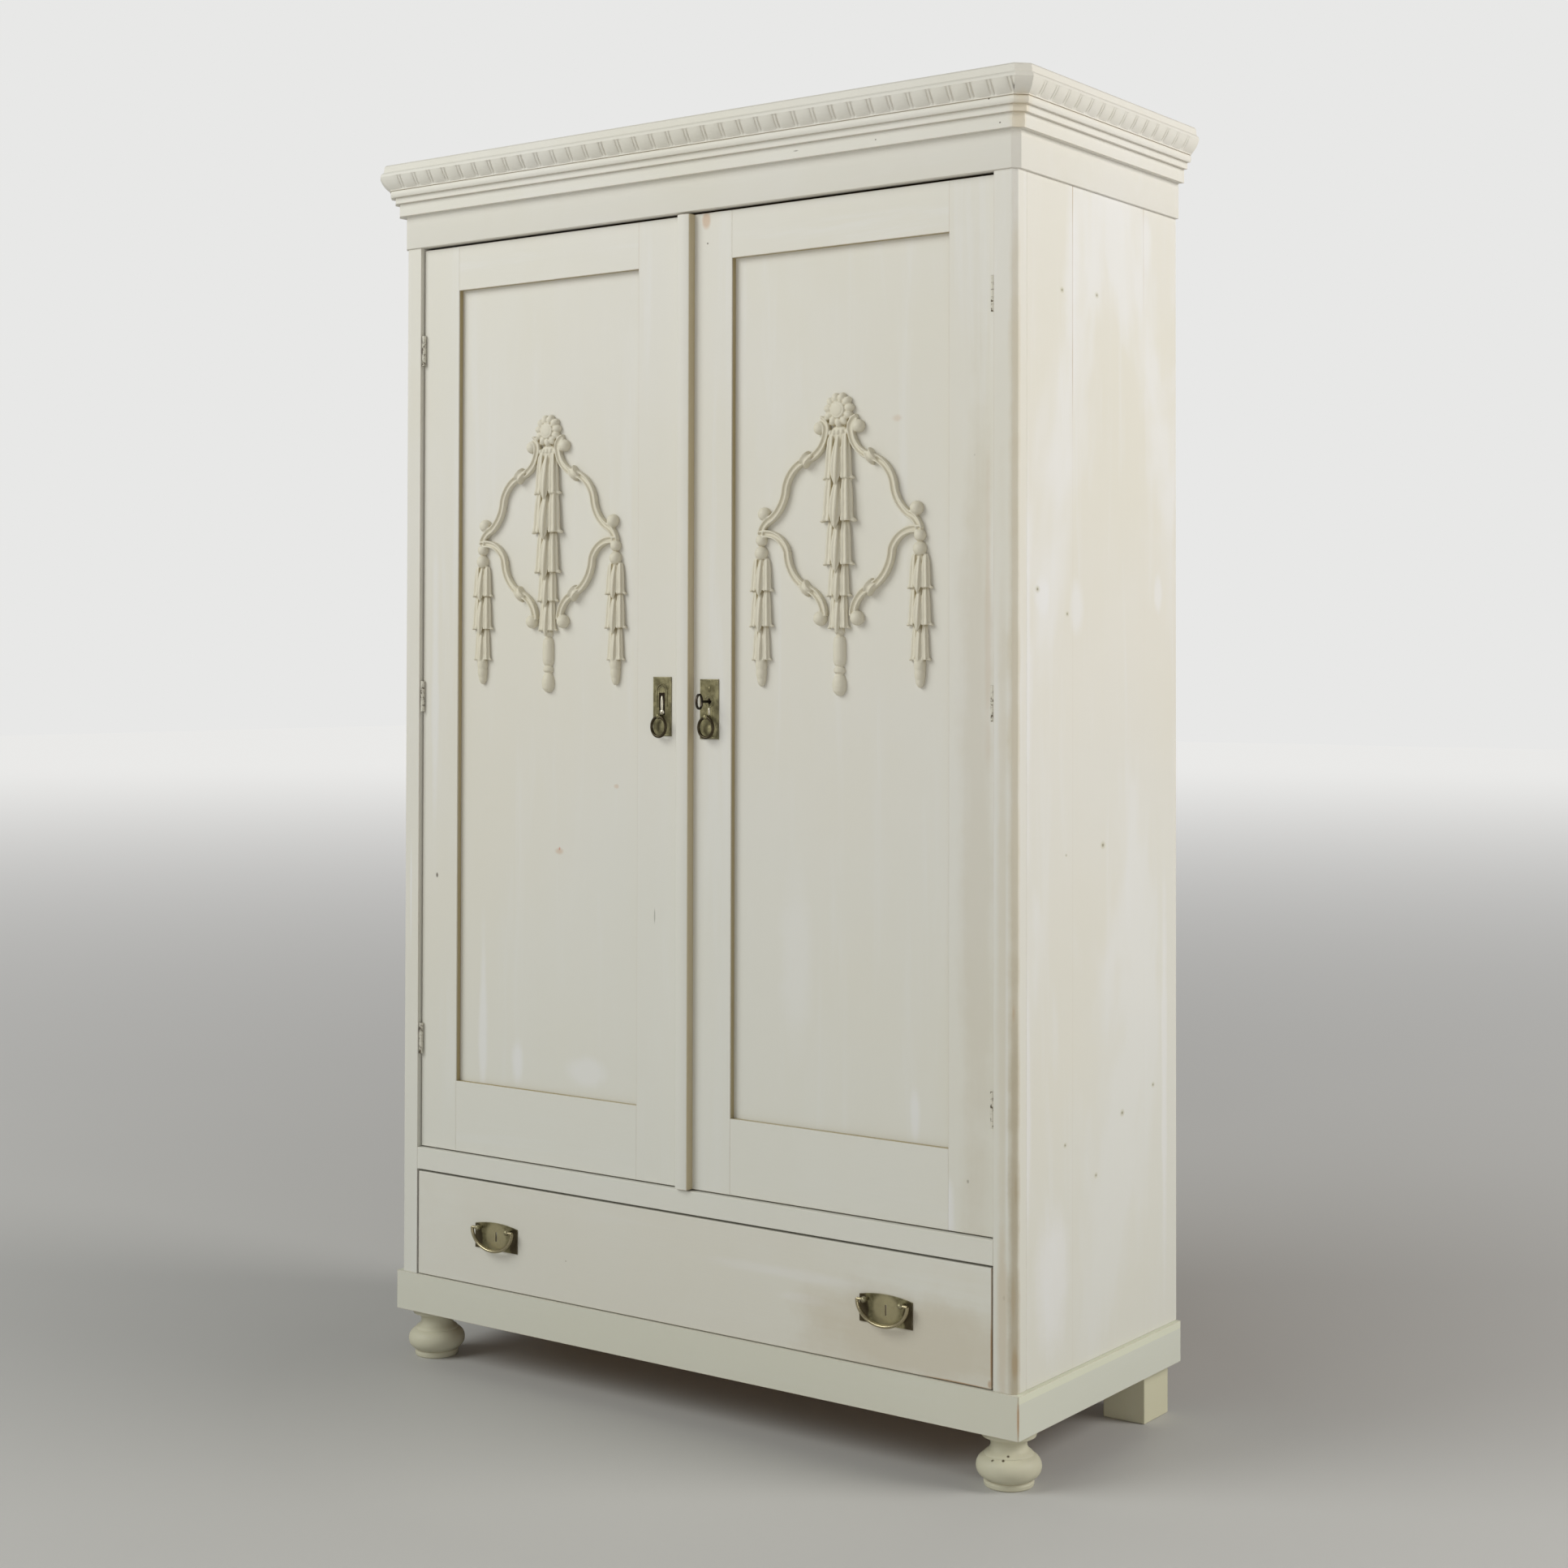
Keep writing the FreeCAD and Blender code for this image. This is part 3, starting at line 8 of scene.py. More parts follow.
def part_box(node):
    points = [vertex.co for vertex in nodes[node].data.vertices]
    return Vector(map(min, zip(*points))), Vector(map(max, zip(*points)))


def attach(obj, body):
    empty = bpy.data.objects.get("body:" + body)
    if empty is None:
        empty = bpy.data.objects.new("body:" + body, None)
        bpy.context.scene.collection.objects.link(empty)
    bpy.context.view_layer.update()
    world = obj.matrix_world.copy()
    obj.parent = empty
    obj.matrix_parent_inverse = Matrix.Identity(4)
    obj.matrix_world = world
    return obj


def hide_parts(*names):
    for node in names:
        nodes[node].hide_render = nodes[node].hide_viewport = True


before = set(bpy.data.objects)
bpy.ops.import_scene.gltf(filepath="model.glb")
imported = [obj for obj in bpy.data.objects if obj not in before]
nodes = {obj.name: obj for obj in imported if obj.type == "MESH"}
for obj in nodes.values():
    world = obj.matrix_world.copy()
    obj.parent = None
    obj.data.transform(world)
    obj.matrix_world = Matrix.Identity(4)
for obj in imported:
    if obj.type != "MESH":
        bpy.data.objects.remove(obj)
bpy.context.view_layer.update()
mm = 0.001
random.seed(7)
front = Vector((0, -1, 0))
quarter = math.radians(90)


# Shader maths
class Wire:
    # one socket of a finish, so that shader maths can be written as plain sums
    def __init__(self, finish, socket):
        self.finish = finish
        self.socket = socket

    def __add__(self, other):
        return self.finish.maths("ADD", self, other)

    def __sub__(self, other):
        return self.finish.maths("SUBTRACT", self, other)

    def __rsub__(self, other):
        return self.finish.maths("SUBTRACT", other, self)

    def __mul__(self, other):
        return self.finish.maths("MULTIPLY", self, other)

    def __truediv__(self, other):
        return self.finish.maths("DIVIDE", self, other)

    def __pow__(self, other):
        return self.finish.maths("POWER", self, other)

    __radd__ = __add__
    __rmul__ = __mul__


class Finish:
    # a material with one shader; node() adds every other node
    def __init__(self, name, **constants):
        self.material = bpy.data.materials.new(name)
        self.material.use_nodes = True
        self.tree = self.material.node_tree
        self.shader = self.tree.nodes["Principled BSDF"]
        for socket, value in constants.items():
            self.shader.inputs[socket.replace("_", " ")].default_value = value
        self.place = self.node("TexCoord", out="Object")

    def node(self, kind, settings=None, sockets=(), out=0):
        made = self.tree.nodes.new("ShaderNode" + kind)
        for key, value in (settings or {}).items():
            setattr(made, key, value)
        pairs = sockets.items() if isinstance(sockets, dict) else enumerate(sockets)
        for key, value in pairs:
            if isinstance(value, Wire):
                self.tree.links.new(value.socket, made.inputs[key])
            else:
                made.inputs[key].default_value = value
        return Wire(self, made.outputs[out])

    def maths(self, operation, first, second=0.0):
        return self.node("Math", {"operation": operation}, (first, second))

    def vector(self, operation, first, second=(0, 0, 0), out="Vector"):
        return self.node("VectorMath", {"operation": operation}, (first, second), out=out)

    def drawnOut(self, grain, share):
        # places for noise that is drawn out along one axis
        scale = [share if axis == grain else 1 for axis in "XYZ"]
        return self.node("Mapping", None, {"Vector": self.place, "Scale": scale})

    def noise(self, scale, detail=4.0, rough=0.5, where=None, twist=0.0):
        sockets = {"Scale": scale, "Detail": detail, "Roughness": rough, "Distortion": twist}
        return self.node("TexNoise", None, {"Vector": where or self.place, **sockets})

    def rise(self, value, low, high):
        # 0 below low, 1 above high, smooth between
        return self.node("MapRange", {"interpolation_type": "SMOOTHSTEP"}, (value, low, high))

    def tint(self, amount, under, over, how="MIX"):
        settings = {"data_type": "RGBA", "blend_type": how}
        return self.node("Mix", settings, {0: amount, 6: under, 7: over}, out=2)

    def layers(self, colour, *coats):
        # coats of (amount, tone) laid over a colour, one after the other
        for amount, tone in coats:
            colour = self.tint(amount, colour, tone)
        return colour

    def axis(self, name):
        return self.node("SeparateXYZ", None, (self.place,), out=name)

    def away(self, spot, radii):
        # distance from a spot, where 1 is its own radius along each axis
        gap = self.vector("DIVIDE", self.vector("SUBTRACT", self.place, spot), radii)
        return self.vector("LENGTH", gap, out="Value")

    def edges(self, radius):
        # near 1 on rounded-over edges, 0 on flats and in corners
        rounded = self.node("Bevel", {"samples": 4}, {"Radius": radius})
        plain = self.node("NewGeometry", out="Normal")
        return 1 - self.vector("DOT_PRODUCT", rounded, plain, "Value")

    def creases(self, distance):
        # near 1 deep in corners, 0 in the open
        settings = {"samples": 6, "only_local": True}
        return 1 - self.node("AmbientOcclusion", settings, {"Distance": distance}, out="AO")

    def relief(self, height, strength, distance):
        sockets = {"Height": height, "Strength": strength, "Distance": distance}
        return self.node("Bump", None, sockets, out="Normal")

    def set(self, **wires):
        for socket, wire in wires.items():
            self.tree.links.new(wire.socket, self.shader.inputs[socket.replace("_", " ")])
        return self.material


def rgb(*parts):
    # an sRGB colour in 0 to 255 as a linear one
    return [(p / 255 / 12.92) if p <= 10 else ((p / 255 + 0.055) / 1.055) ** 2.4 for p in parts] + [1.0]


# Finishes
paintLook = {
    "cream": rgb(218, 215, 207), "warm": rgb(215, 211, 197), "pale": rgb(226, 226, 227),
    "cool": rgb(209, 210, 200), "olive": rgb(154, 137, 86), "tan": rgb(166, 134, 92),
    "bare": rgb(160, 122, 82), "shadeAndGrime": 0.85, "wear": 0.5, "grain": 0.07, "rounded": 2.2 * mm,
    "relief": 0.6 * mm,
}


def makePaint(
        name, grain, wear=1.0, shadeAndGrime=1.0, chalk=0.25, seams=(), bands=(), spots=(), hollow=5 * mm,
        glaze=None, cloudy=0.1):
    # Old cream paint on wood whose grain runs along one axis. A seam is (axis, place, amount,
    # width, fades below). A band is (axis, starts, full, full until, ends, colour, amount) and a
    # spot is (place, radii, colour, amount).
    look = paintLook
    finish = Finish(name, Specular_IOR_Level=0.35)
    along = finish.drawnOut(grain, look["grain"])
    drift = finish.noise(1.7, 3.0)
    streaks = finish.noise(26.0, 5.0, 0.6, along, 0.4)
    fibres = finish.noise(230.0, 3.0, 0.55, along)
    mottle = finish.noise(9.0, 6.0, 0.62)
    cloud = finish.noise(3.6, 4.0, 0.6, finish.drawnOut("Z", 0.4), 0.3)
    lower = 1 - finish.rise(finish.axis("Z") + (drift - 0.5) * 1.2, 0.1, 1.3)
    colour = finish.layers(
        look["cream"],
        (finish.rise(drift, 0.35, 0.65) * 0.6, look["warm"]),
        (finish.rise(streaks, 0.52, 0.72) * chalk, look["pale"]),
        (finish.rise(streaks * 0.6 + mottle * 0.4, 0.52, 0.38) * 0.14, look["warm"]),
        (finish.rise(cloud, 0.5, 0.64) * cloudy, look["pale"]),
        (lower * 0.55, look["cool"]))
    height = fibres * 0.5 + streaks * 0.8 + mottle * 0.25
    for axis, place, amount, width, fades in seams:
        gap = finish.maths("ABSOLUTE", finish.axis(axis) + (streaks - 0.5) * 0.002 - place)
        seam = 1 - finish.rise(gap, width * 0.4, width)
        seam = seam * (0.08 + 0.92 * finish.rise(finish.axis("Z") + mottle * 0.1, fades, fades + 0.15))
        colour = finish.tint(seam * amount, colour, look["tan"])
        height = height - seam * 3
    for spot, radii, tone, amount in spots:
        edge = finish.away(spot, radii) + (mottle - 0.5) * 1.1 + (streaks - 0.5) * 0.7
        colour = finish.tint((1 - finish.rise(edge, 0.3, 1.0)) * amount, colour, tone)
    for axis, starts, full, until, ends, tone, amount in bands:
        depth = finish.axis(axis)
        band = finish.rise(depth, starts, full) * (1 - finish.rise(depth, until, ends))
        colour = finish.tint(band * (0.62 + 0.75 * (streaks - 0.3)) * amount, colour, tone)
    if glaze:
        colour = finish.tint(1.0, colour, glaze, "MULTIPLY")
    # painted shade with dirt: the paint turns olive deep in corners and creases, out to the hollow distance
    creaseShadeAndDirt = finish.rise(finish.creases(hollow) + (mottle - 0.5) * 0.2, 0.3, 0.72) * (look["shadeAndGrime"] * shadeAndGrime)
    rubbed = finish.edges(look["rounded"]) * 2.2 + finish.noise(34.0, 6.0, 0.7) * 0.9 + mottle * 0.35
    chips = finish.rise(rubbed, 1.02, 1.2)
    colour = finish.layers(colour, (creaseShadeAndDirt, look["olive"]), (chips * (look["wear"] * wear), look["bare"]))
    return finish.set(
        Base_Color=colour, Roughness=0.46 + mottle * 0.2 + creaseShadeAndDirt * 0.2 + chips * 0.15,
        Normal=finish.relief(height - chips * 0.4, 0.35, look["relief"]))


pineLook = {
    "light": rgb(208, 176, 130), "deep": rgb(186, 146, 98), "figure": rgb(166, 118, 70),
    "streak": rgb(148, 106, 64), "stain": rgb(132, 98, 62), "fibre": rgb(120, 84, 50),
    "knot": rgb(98, 62, 34), "creaseShadeAndDirt": rgb(74, 54, 36), "shift": 5.1, "years": 150, "hollow": 20 * mm,
}


def makePine(name, grain, across, start, pitch):
    # bare old pine, its grain along one axis and its boards side by side along another
    look = pineLook
    finish = Finish(name, Specular_IOR_Level=0.3)
    board = finish.maths("FLOOR", (finish.axis(across) - start) / pitch)
    tone = finish.node("TexWhiteNoise", {"noise_dimensions": "1D"}, {"W": board}, out="Value")
    shift = tone * look["shift"]
    along = finish.vector("ADD", finish.drawnOut(grain, 0.05), tone * 7.3)
    field = finish.noise(2.6, 1.6, 0.45, finish.vector("ADD", finish.drawnOut(grain, 0.13), shift), 0.25)
    places = {"Vector": finish.vector("ADD", finish.place, shift), "Scale": 4.0}
    core = finish.node("TexVoronoi", {"feature": "F1"}, places, out="Distance")
    knot = 1 - finish.rise(core, 0.03, 0.075)
    figure = finish.rise(finish.maths("SINE", (field + knot * 0.06) * look["years"]), -0.7, 1.0)
    streaks = finish.noise(22.0, 4.0, 0.55, along, 0.4)
    fibres = finish.noise(260.0, 3.0, 0.6, along)
    colour = finish.layers(
        look["light"], (tone * 0.7, look["deep"]), (figure * 0.5, look["figure"]),
        (finish.rise(streaks, 0.5, 0.75) * 0.3, look["streak"]),
        (finish.rise(finish.noise(2.2, 4.0), 0.42, 0.72) * 0.3, look["stain"]),
        (finish.rise(fibres, 0.55, 0.75) * 0.25, look["fibre"]), (knot * 0.75, look["knot"]),
        # painted shade with dirt: darker brown deep in corners
        (finish.rise(finish.creases(look["hollow"]), 0.2, 0.8) * 0.5, look["creaseShadeAndDirt"]))
    return finish.set(
        Base_Color=colour, Roughness=0.55 + fibres * 0.25,
        Normal=finish.relief(fibres + figure * 0.3, 0.3, 0.5 * mm))


def makeBrass(name, spots=()):
    # old pressed brass: olive patina, brown in the hollows, lighter on edges: rubbed metal with a painted
    # highlight
    finish = Finish(name, Metallic=0.85)
    cloud = finish.noise(55.0, 5.0, 0.6)
    freckles = finish.noise(190.0, 4.0, 0.6)
    coats = [(finish.rise(cloud, 0.32, 0.7), rgb(156, 149, 114)),
             (finish.rise(freckles, 0.48, 0.72) * 0.5, rgb(78, 68, 44))]
    for spot, radii, tone, amount in spots:
        edge = finish.away(spot, radii) + (cloud - 0.5) * 0.4
        coats.append(((1 - finish.rise(edge, 0.7, 1.0)) * amount, tone))
    crease = finish.rise(finish.creases(2.2 * mm), 0.16, 0.6)
    # painted highlight along the edges, partly rubbed brass, kept out of the hollows
    bright = finish.rise(finish.edges(0.8 * mm), 0.05, 0.3) * (1 - crease)
    coats += [(crease * 0.95, rgb(38, 32, 18)), (bright * 0.9, rgb(226, 220, 190))]
    return finish.set(
        Base_Color=finish.layers(rgb(108, 102, 74), *coats),
        Roughness=0.38 + cloud * 0.16 + crease * 0.3 - bright * 0.14,
        Normal=finish.relief(freckles + cloud, 0.15, 0.3 * mm))


def makeIron(name, tone, shine=0.3):
    # dark worn iron or bronze, with brown freckles
    finish = Finish(name, Metallic=0.9)
    cloud = finish.noise(70.0, 5.0, 0.6)
    rust = finish.noise(150.0, 6.0, 0.7)
    rusty = finish.rise(rust, 0.56, 0.7)
    bright = finish.rise(finish.edges(0.6 * mm), 0.12, 0.4)
    return finish.set(
        Base_Color=finish.layers(tone, (rusty * 0.5, rgb(88, 62, 38)), (bright * 0.35, rgb(150, 142, 120))),
        Roughness=shine + cloud * 0.2 + rusty * 0.3, Normal=finish.relief(rust, 0.15, 0.3 * mm))


def makeHinge(name):
    # steel leaves painted over with the doors, the paint chipped off in places
    finish = Finish(name, Specular_IOR_Level=0.4)
    chips = finish.rise(finish.noise(120.0, 5.0, 0.7) + finish.edges(0.8 * mm) * 0.5, 0.52, 0.62)
    return finish.set(
        Base_Color=finish.tint(chips, rgb(208, 204, 190), rgb(92, 80, 64)), Roughness=0.45 + chips * 0.1,
        Metallic=chips * 0.7, Normal=finish.relief(1 - chips, 0.4, 0.4 * mm))


def makeFloor(name, colour, far, fades):
    # pale floor that turns into the background's own tone away from the cupboard, with painted shadow under
    # and near it
    finish = Finish(name, Emission_Strength=1.0, Specular_IOR_Level=0.25)
    cloud = finish.noise(1.2, 5.0)
    flat = finish.vector("MULTIPLY", finish.place, (1, 1, 0))
    distance = finish.rise(finish.vector("LENGTH", flat, out="Value"), *fades) ** 0.45
    # painted shadow: the floor turns dark where the cupboard stands over it
    near = finish.layers(
        colour, (cloud * 0.1, rgb(200, 198, 194)), (finish.creases(220 * mm) * 0.6, rgb(70, 68, 64)))
    return finish.set(
        Base_Color=near, Roughness=0.5 + cloud * 0.15,
        Emission_Color=finish.tint(distance, rgb(0, 0, 0), far))


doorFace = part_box("left_lock_stile")[0].y
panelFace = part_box("left_panel")[0].y
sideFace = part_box("side_right")[1].x
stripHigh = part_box("cover_strip")[1]
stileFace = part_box("stile_right")[0].y
drawerLow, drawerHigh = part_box("drawer_front")
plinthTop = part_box("plinth_front")[1].z
bailBoxes = [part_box(side + "_bail") for side in ("left", "right")]
slits = [(low + high) / 2 for low, high in bailBoxes]

# Bands along edges: painted shade with dirt in the door reveals, painted shade on the flank of the cover
# strip and in the gaps round the drawer, and a painted highlight along the top edge of the plinth sides
# painted shade with dirt: olive on the reveals of the door frames, from just behind the door face down to
# the panel
revealShadeAndDirt = [("Y", doorFace + mm, doorFace + 3 * mm, panelFace + mm, panelFace + 2 * mm,
           rgb(156, 135, 74), 0.95)]
# painted shade: tan on the right side face of the cover strip
stripFlankShade = [("X", stripHigh.x - 2.2 * mm, stripHigh.x - 0.6 * mm, 1.0, 1.1, rgb(186, 168, 122), 0.9)]
# painted highlight along the top edge of the plinth sides, standing in for a rounded edge that catches the
# light
lipHighlight = [("Z", plinthTop - 12 * mm, plinthTop - 10 * mm, 1.0, 1.1, rgb(229, 228, 206), 0.75)]
# painted shade in the gaps round the drawer: darker bands along its left, right and bottom edges
drawerGapShade = [
    ("X", drawerLow.x - 2 * mm, drawerLow.x - mm, drawerLow.x + 1.2 * mm, drawerLow.x + 2.4 * mm,
     rgb(74, 58, 38), 0.85),
    ("X", drawerHigh.x - 1.6 * mm, drawerHigh.x - 0.6 * mm, 1.0, 1.1, rgb(132, 104, 74), 0.7),
    ("Z", drawerLow.z - 2 * mm, drawerLow.z - mm, drawerLow.z + 0.5 * mm, drawerLow.z + 1.4 * mm,
     rgb(120, 100, 76), 0.6),
]
sideSeams = [("Y", -0.0625, 0.6, 0.0016, 1.5), ("Y", 0.1535, 0.4, 0.0013, 1.68)]

# Marks seen in the photograph, in millimetres: y, z and radius of knots on the right side, y, z
# and radii of its chalky patches, and x, z, radii, tone and amount of marks on the front.
tanMark, nailMark, paleMark = rgb(190, 150, 112), rgb(74, 62, 46), paintLook["pale"]
bareMark = rgb(168, 126, 84)
knotMarks = [
    (-93, 1669, 7), (9, 1674, 9), (-162, 1243, 9), (-78, 1210, 6), (-81, 868, 5),
    (27, 876, 9), (86, 480, 8), (183, 508, 8), (-84, 459, 6), (6, 402, 8),
    (-197, 427, 7),
]
chalkMarks = [
    (-62, 1690, 34, 170), (161, 1770, 22, 60), (-190, 1160, 14, 400), (-50, 1220, 24, 50),
    (-150, 1235, 30, 34), (200, 1245, 16, 34), (-120, 290, 60, 130), (-190, 550, 13, 300),
    (220, 500, 12, 400),
]
sideSpots = [((sideFace, along * mm, high * mm), (20 * mm, wide * mm, tall * mm), paleMark, 0.5)
             for along, high, wide, tall in chalkMarks]
for along, high, radius in knotMarks:
    place, size = (sideFace, along * mm, high * mm), radius * mm
    sideSpots.append((place, (size, size, size * 0.8), rgb(184, 180, 152), 0.5))
    sideSpots.append((place, (size, size * 0.42, size * 0.34), rgb(124, 116, 92), 0.7))


def frontSpots(face, *marks):
    # the marks as spots on a face of the front
    return [((across * mm, face, high * mm), (wide * mm, 10 * mm, tall * mm), tone, amount)
            for across, high, wide, tall, tone, amount in marks]


doorSpots = frontSpots(
    doorFace,
    (-514, 792, 3, 5, nailMark, 0.8), (39, 1808, 9, 14, tanMark, 0.55),
    (42, 1772, 1.6, 1.6, nailMark, 0.8), (94, 1812, 1.2, 1.6, nailMark, 0.8),
    (503, 420, 2.2, 3, nailMark, 0.5), (513, 1430, 1.4, 2, nailMark, 0.4),
    (469, 365, 14, 60, paleMark, 0.6), (-520, 1100, 10, 300, paleMark, 0.4),
    (100, 620, 14, 200, paleMark, 0.4), (535, 1200, 8, 300, tanMark, 0.16),
    (-57, 753, 1.6, 14, nailMark, 0.4), (520, 950, 40, 900, rgb(190, 180, 158), 0.33))
panelSpots = frontSpots(
    panelFace,
    (-259, 842, 12, 7, tanMark, 0.4), (-142, 948, 7, 5, tanMark, 0.35),
    (378, 1490, 14, 8, tanMark, 0.25), (-345, 500, 16, 50, paleMark, 0.55),
    (409, 500, 12, 60, paleMark, 0.5), (-420, 550, 12, 200, paleMark, 0.5),
    (-200, 500, 50, 30, paleMark, 0.4), (200, 700, 40, 160, paleMark, 0.25),
    (-258, 846, 2.5, 3.5, rgb(196, 120, 96), 0.6))
stileSpots = frontSpots(
    stileFace,
    (581.5, 182, 4, 30, rgb(178, 140, 98), 0.85), (580, 270, 3, 40, rgb(178, 140, 98), 0.4),
    (582, 420, 2.2, 30, rgb(150, 118, 76), 0.4), (580, 660, 2.4, 16, tanMark, 0.5),
    (566, 270, 2.4, 4, nailMark, 0.3), (-565, 760, 3, 120, paleMark, 0.5),
    (570, 620, 3, 400, paleMark, 0.35), (563, 240, 12, 190, rgb(194, 180, 156), 0.55),
    (563, 800, 12, 700, rgb(200, 190, 168), 0.4))
cantAt = (0.579, -0.2164)
stileSpots += [((*cantAt, 0.9), (0.011, 0.011, 1.5), rgb(196, 184, 156), 0.55),
               ((*cantAt, 0.3), (0.0105, 0.0105, 0.6), rgb(158, 145, 118), 0.5)]
cornerSpots = [((0.5903, -0.2245, 0.105), (0.003, 0.003, 0.036), tanMark, 0.7)]
# The first marks on the drawer front are near-black spots behind the slits of the pull plates: painted
# shade seen through the slits
drawerSpots = frontSpots(
    drawerLow.y, *[(slit.x / mm, slit.z / mm, 7, 16, rgb(34, 27, 18), 1.0) for slit in slits],
    (545.2, 190, 1.8, 60, bareMark, 0.8), (490, 142, 70, 1.8, bareMark, 0.8),
    (543, 148, 4, 7, bareMark, 0.6), (-227, 206, 2, 1.5, nailMark, 0.5),
    (224, 217, 60, 10, paleMark, 0.3), (200, 250, 200, 12, paleMark, 0.3),
    (-100, 220, 800, 300, rgb(204, 193, 174), 0.18), (420, 190, 260, 90, rgb(182, 168, 140), 0.4))
holeSpots = [
    ((0.555, -0.246, 1.916), (0.002, 0.01, 0.0014), nailMark, 0.95),
    ((0.566, -0.236, 1.884), (0.0018, 0.02, 0.0014), nailMark, 0.95),
    ((0.36, -0.238, 1.886), (0.0016, 0.02, 0.0013), nailMark, 0.9),
    ((0.22, -0.238, 1.887), (0.006, 0.02, 0.0013), nailMark, 0.6),
    ((0.596, -0.232, 1.9), (0.018, 0.018, 0.11), rgb(214, 198, 164), 0.45),
]
wormHoles = [(0.5545, -0.2103, 0.0676), (0.5616, -0.2028, 0.0486), (0.5429, -0.2126, 0.0410),
             (0.5577, -0.2092, 0.0429), (0.5695, -0.1991, 0.0655)]
footSpots = [(spot, (0.0029,) * 3, nailMark, 0.95) for spot in wormHoles]

# Each kind of paint with the axis of its grain
paintKinds = {
    "upright": ("Z", {"bands": revealShadeAndDirt, "spots": doorSpots}),
    "level": ("X", {"bands": revealShadeAndDirt}),
    "panel": ("Z", {"spots": panelSpots, "chalk": 0.2}),
    "stile": ("Z", {"wear": 1.2, "spots": stileSpots}),
    "drawer": ("X", {"bands": drawerGapShade, "spots": drawerSpots}),
    "strip": ("Z", {"bands": stripFlankShade}),
    "across": ("X", {}),
    "plinth": ("X", {"wear": 1.6, "spots": cornerSpots, "glaze": rgb(247, 247, 241)}),
    "deep": ("Y", {"wear": 1.6, "spots": cornerSpots, "bands": lipHighlight, "glaze": rgb(245, 248, 244)}),
    # the glaze darkens the block feet and makes them greener: partly their own tone, partly painted shade
    # under the cupboard
    "post": ("Z", {"glaze": rgb(240, 237, 215)}),
    "cornice": ("X", {"shadeAndGrime": 0.5, "chalk": 0.1, "wear": 0.6, "spots": holeSpots, "hollow": 2 * mm}),
    "side": ("Z", {"seams": sideSeams, "spots": sideSpots, "cloudy": 0.55}),
    "carved": ("Z", {"wear": 1.1, "shadeAndGrime": 0.9, "chalk": 0.1, "glaze": rgb(252, 249, 239),
                     "hollow": 8 * mm}),
    "turned": ("Z", {"wear": 0.7, "shadeAndGrime": 0.9, "chalk": 0.1, "glaze": rgb(234, 231, 214),
                     "spots": footSpots}),
}
paints = {kind: makePaint("creamPaint" + kind.title(), grain, **settings)
          for kind, (grain, settings) in paintKinds.items()}
boardLow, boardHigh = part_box("back_boards")
pines = {
    "X": makePine("barePineX", "X", "Y", -0.015, 0.13),
    "Y": makePine("barePineY", "Y", "Z", 0.0, 3.0),
    "Z": makePine("barePineZ", "Z", "X", boardLow.x, (boardHigh.x - boardLow.x) / 7),
}
# Painted light on the pull plates: a painted highlight in the middle of each plate, painted shade at its
# two ends and a painted highlight on each ball head
pullHighlightsAndShade = []
for slit in slits:
    middle = Vector((slit.x, drawerLow.y, slit.z))
    pullHighlightsAndShade.append((middle + Vector((0, 0, 4 * mm)), (26 * mm, 8 * mm, 26 * mm), rgb(182, 173, 138), 0.7))
    for hand in (-1, 1):
        wing = middle + Vector((hand * 40 * mm, 0, 0))
        ball = (slit.x + hand * 31 * mm, drawerLow.y - 11.5 * mm, bailBoxes[0][1].z - 1.5 * mm)
        pullHighlightsAndShade.append((wing, (13 * mm, 7 * mm, 30 * mm), rgb(66, 55, 38), 0.85))
        pullHighlightsAndShade.append((ball, (5 * mm,) * 3, rgb(214, 206, 178), 0.7))
brass = makeBrass("oldBrass")
pullBrass = makeBrass("pullBrass", pullHighlightsAndShade)
bailBrass = makeIron("bailBrass", rgb(166, 156, 126), 0.2)
# pale metal that paints highlights on the lock plates
highlightSilver = makeIron("paintedHighlightSilver", rgb(214, 208, 190))
# near-black metal that paints the shade in the keyhole and round the drop of the lock plates
shadeRecessMetal = makeIron("paintedShadeRecess", rgb(40, 32, 22), 0.5)
darkBrass = makeIron("darkBrass", rgb(70, 62, 46), 0.24)
iron = makeIron("darkIron", rgb(52, 46, 40))
hingeFinish = makeHinge("paintedHinge")
print("stage: finishes")


# Carried-over nodes
def modify(piece, name, kind, **settings):
    modifier = piece.modifiers.new(name, kind)
    for key, value in settings.items():
        setattr(modifier, key, value)


def dress(material, edge, *names):
    # CAD nodes in their own shape: one finish, their edges slightly rounded
    for name in names:
        piece = nodes[name]
        piece.data.materials.clear()
        piece.data.materials.append(material)
        if edge:
            modify(piece, "weld", "WELD", merge_threshold=0.01 * mm)
            modify(piece, "flats", "DECIMATE", decimate_type="DISSOLVE", angle_limit=math.radians(0.3))
            modify(piece, "edges", "BEVEL", width=edge * mm, segments=2, limit_method="ANGLE",
                   angle_limit=math.radians(28))


dress(paints["upright"], 0.5, "left_hinge_stile", "left_lock_stile", "right_hinge_stile",
      "right_lock_stile")
dress(paints["level"], 0.5, "left_top_rail", "left_bottom_rail", "right_top_rail", "right_bottom_rail")
dress(paints["panel"], 0, "left_panel", "right_panel")
dress(paints["stile"], 1.0, "stile_left", "stile_right")
dress(paints["drawer"], 1.2, "drawer_front")
dress(paints["across"], 1.0, "mid_rail", "crown_board")
dress(paints["plinth"], 1.4, "plinth_front")
dress(paints["deep"], 1.4, "plinth_left", "plinth_right")
dress(paints["side"], 0.8, "side_left", "side_right")
dress(paints["post"], 1.5, "block_feet")
dress(pines["X"], 0.8, "bottom_board", "floor_board", "ceiling_board", "shelves", "frieze_rear",
      "plinth_rear", "drawer_back", "drawer_bottom")
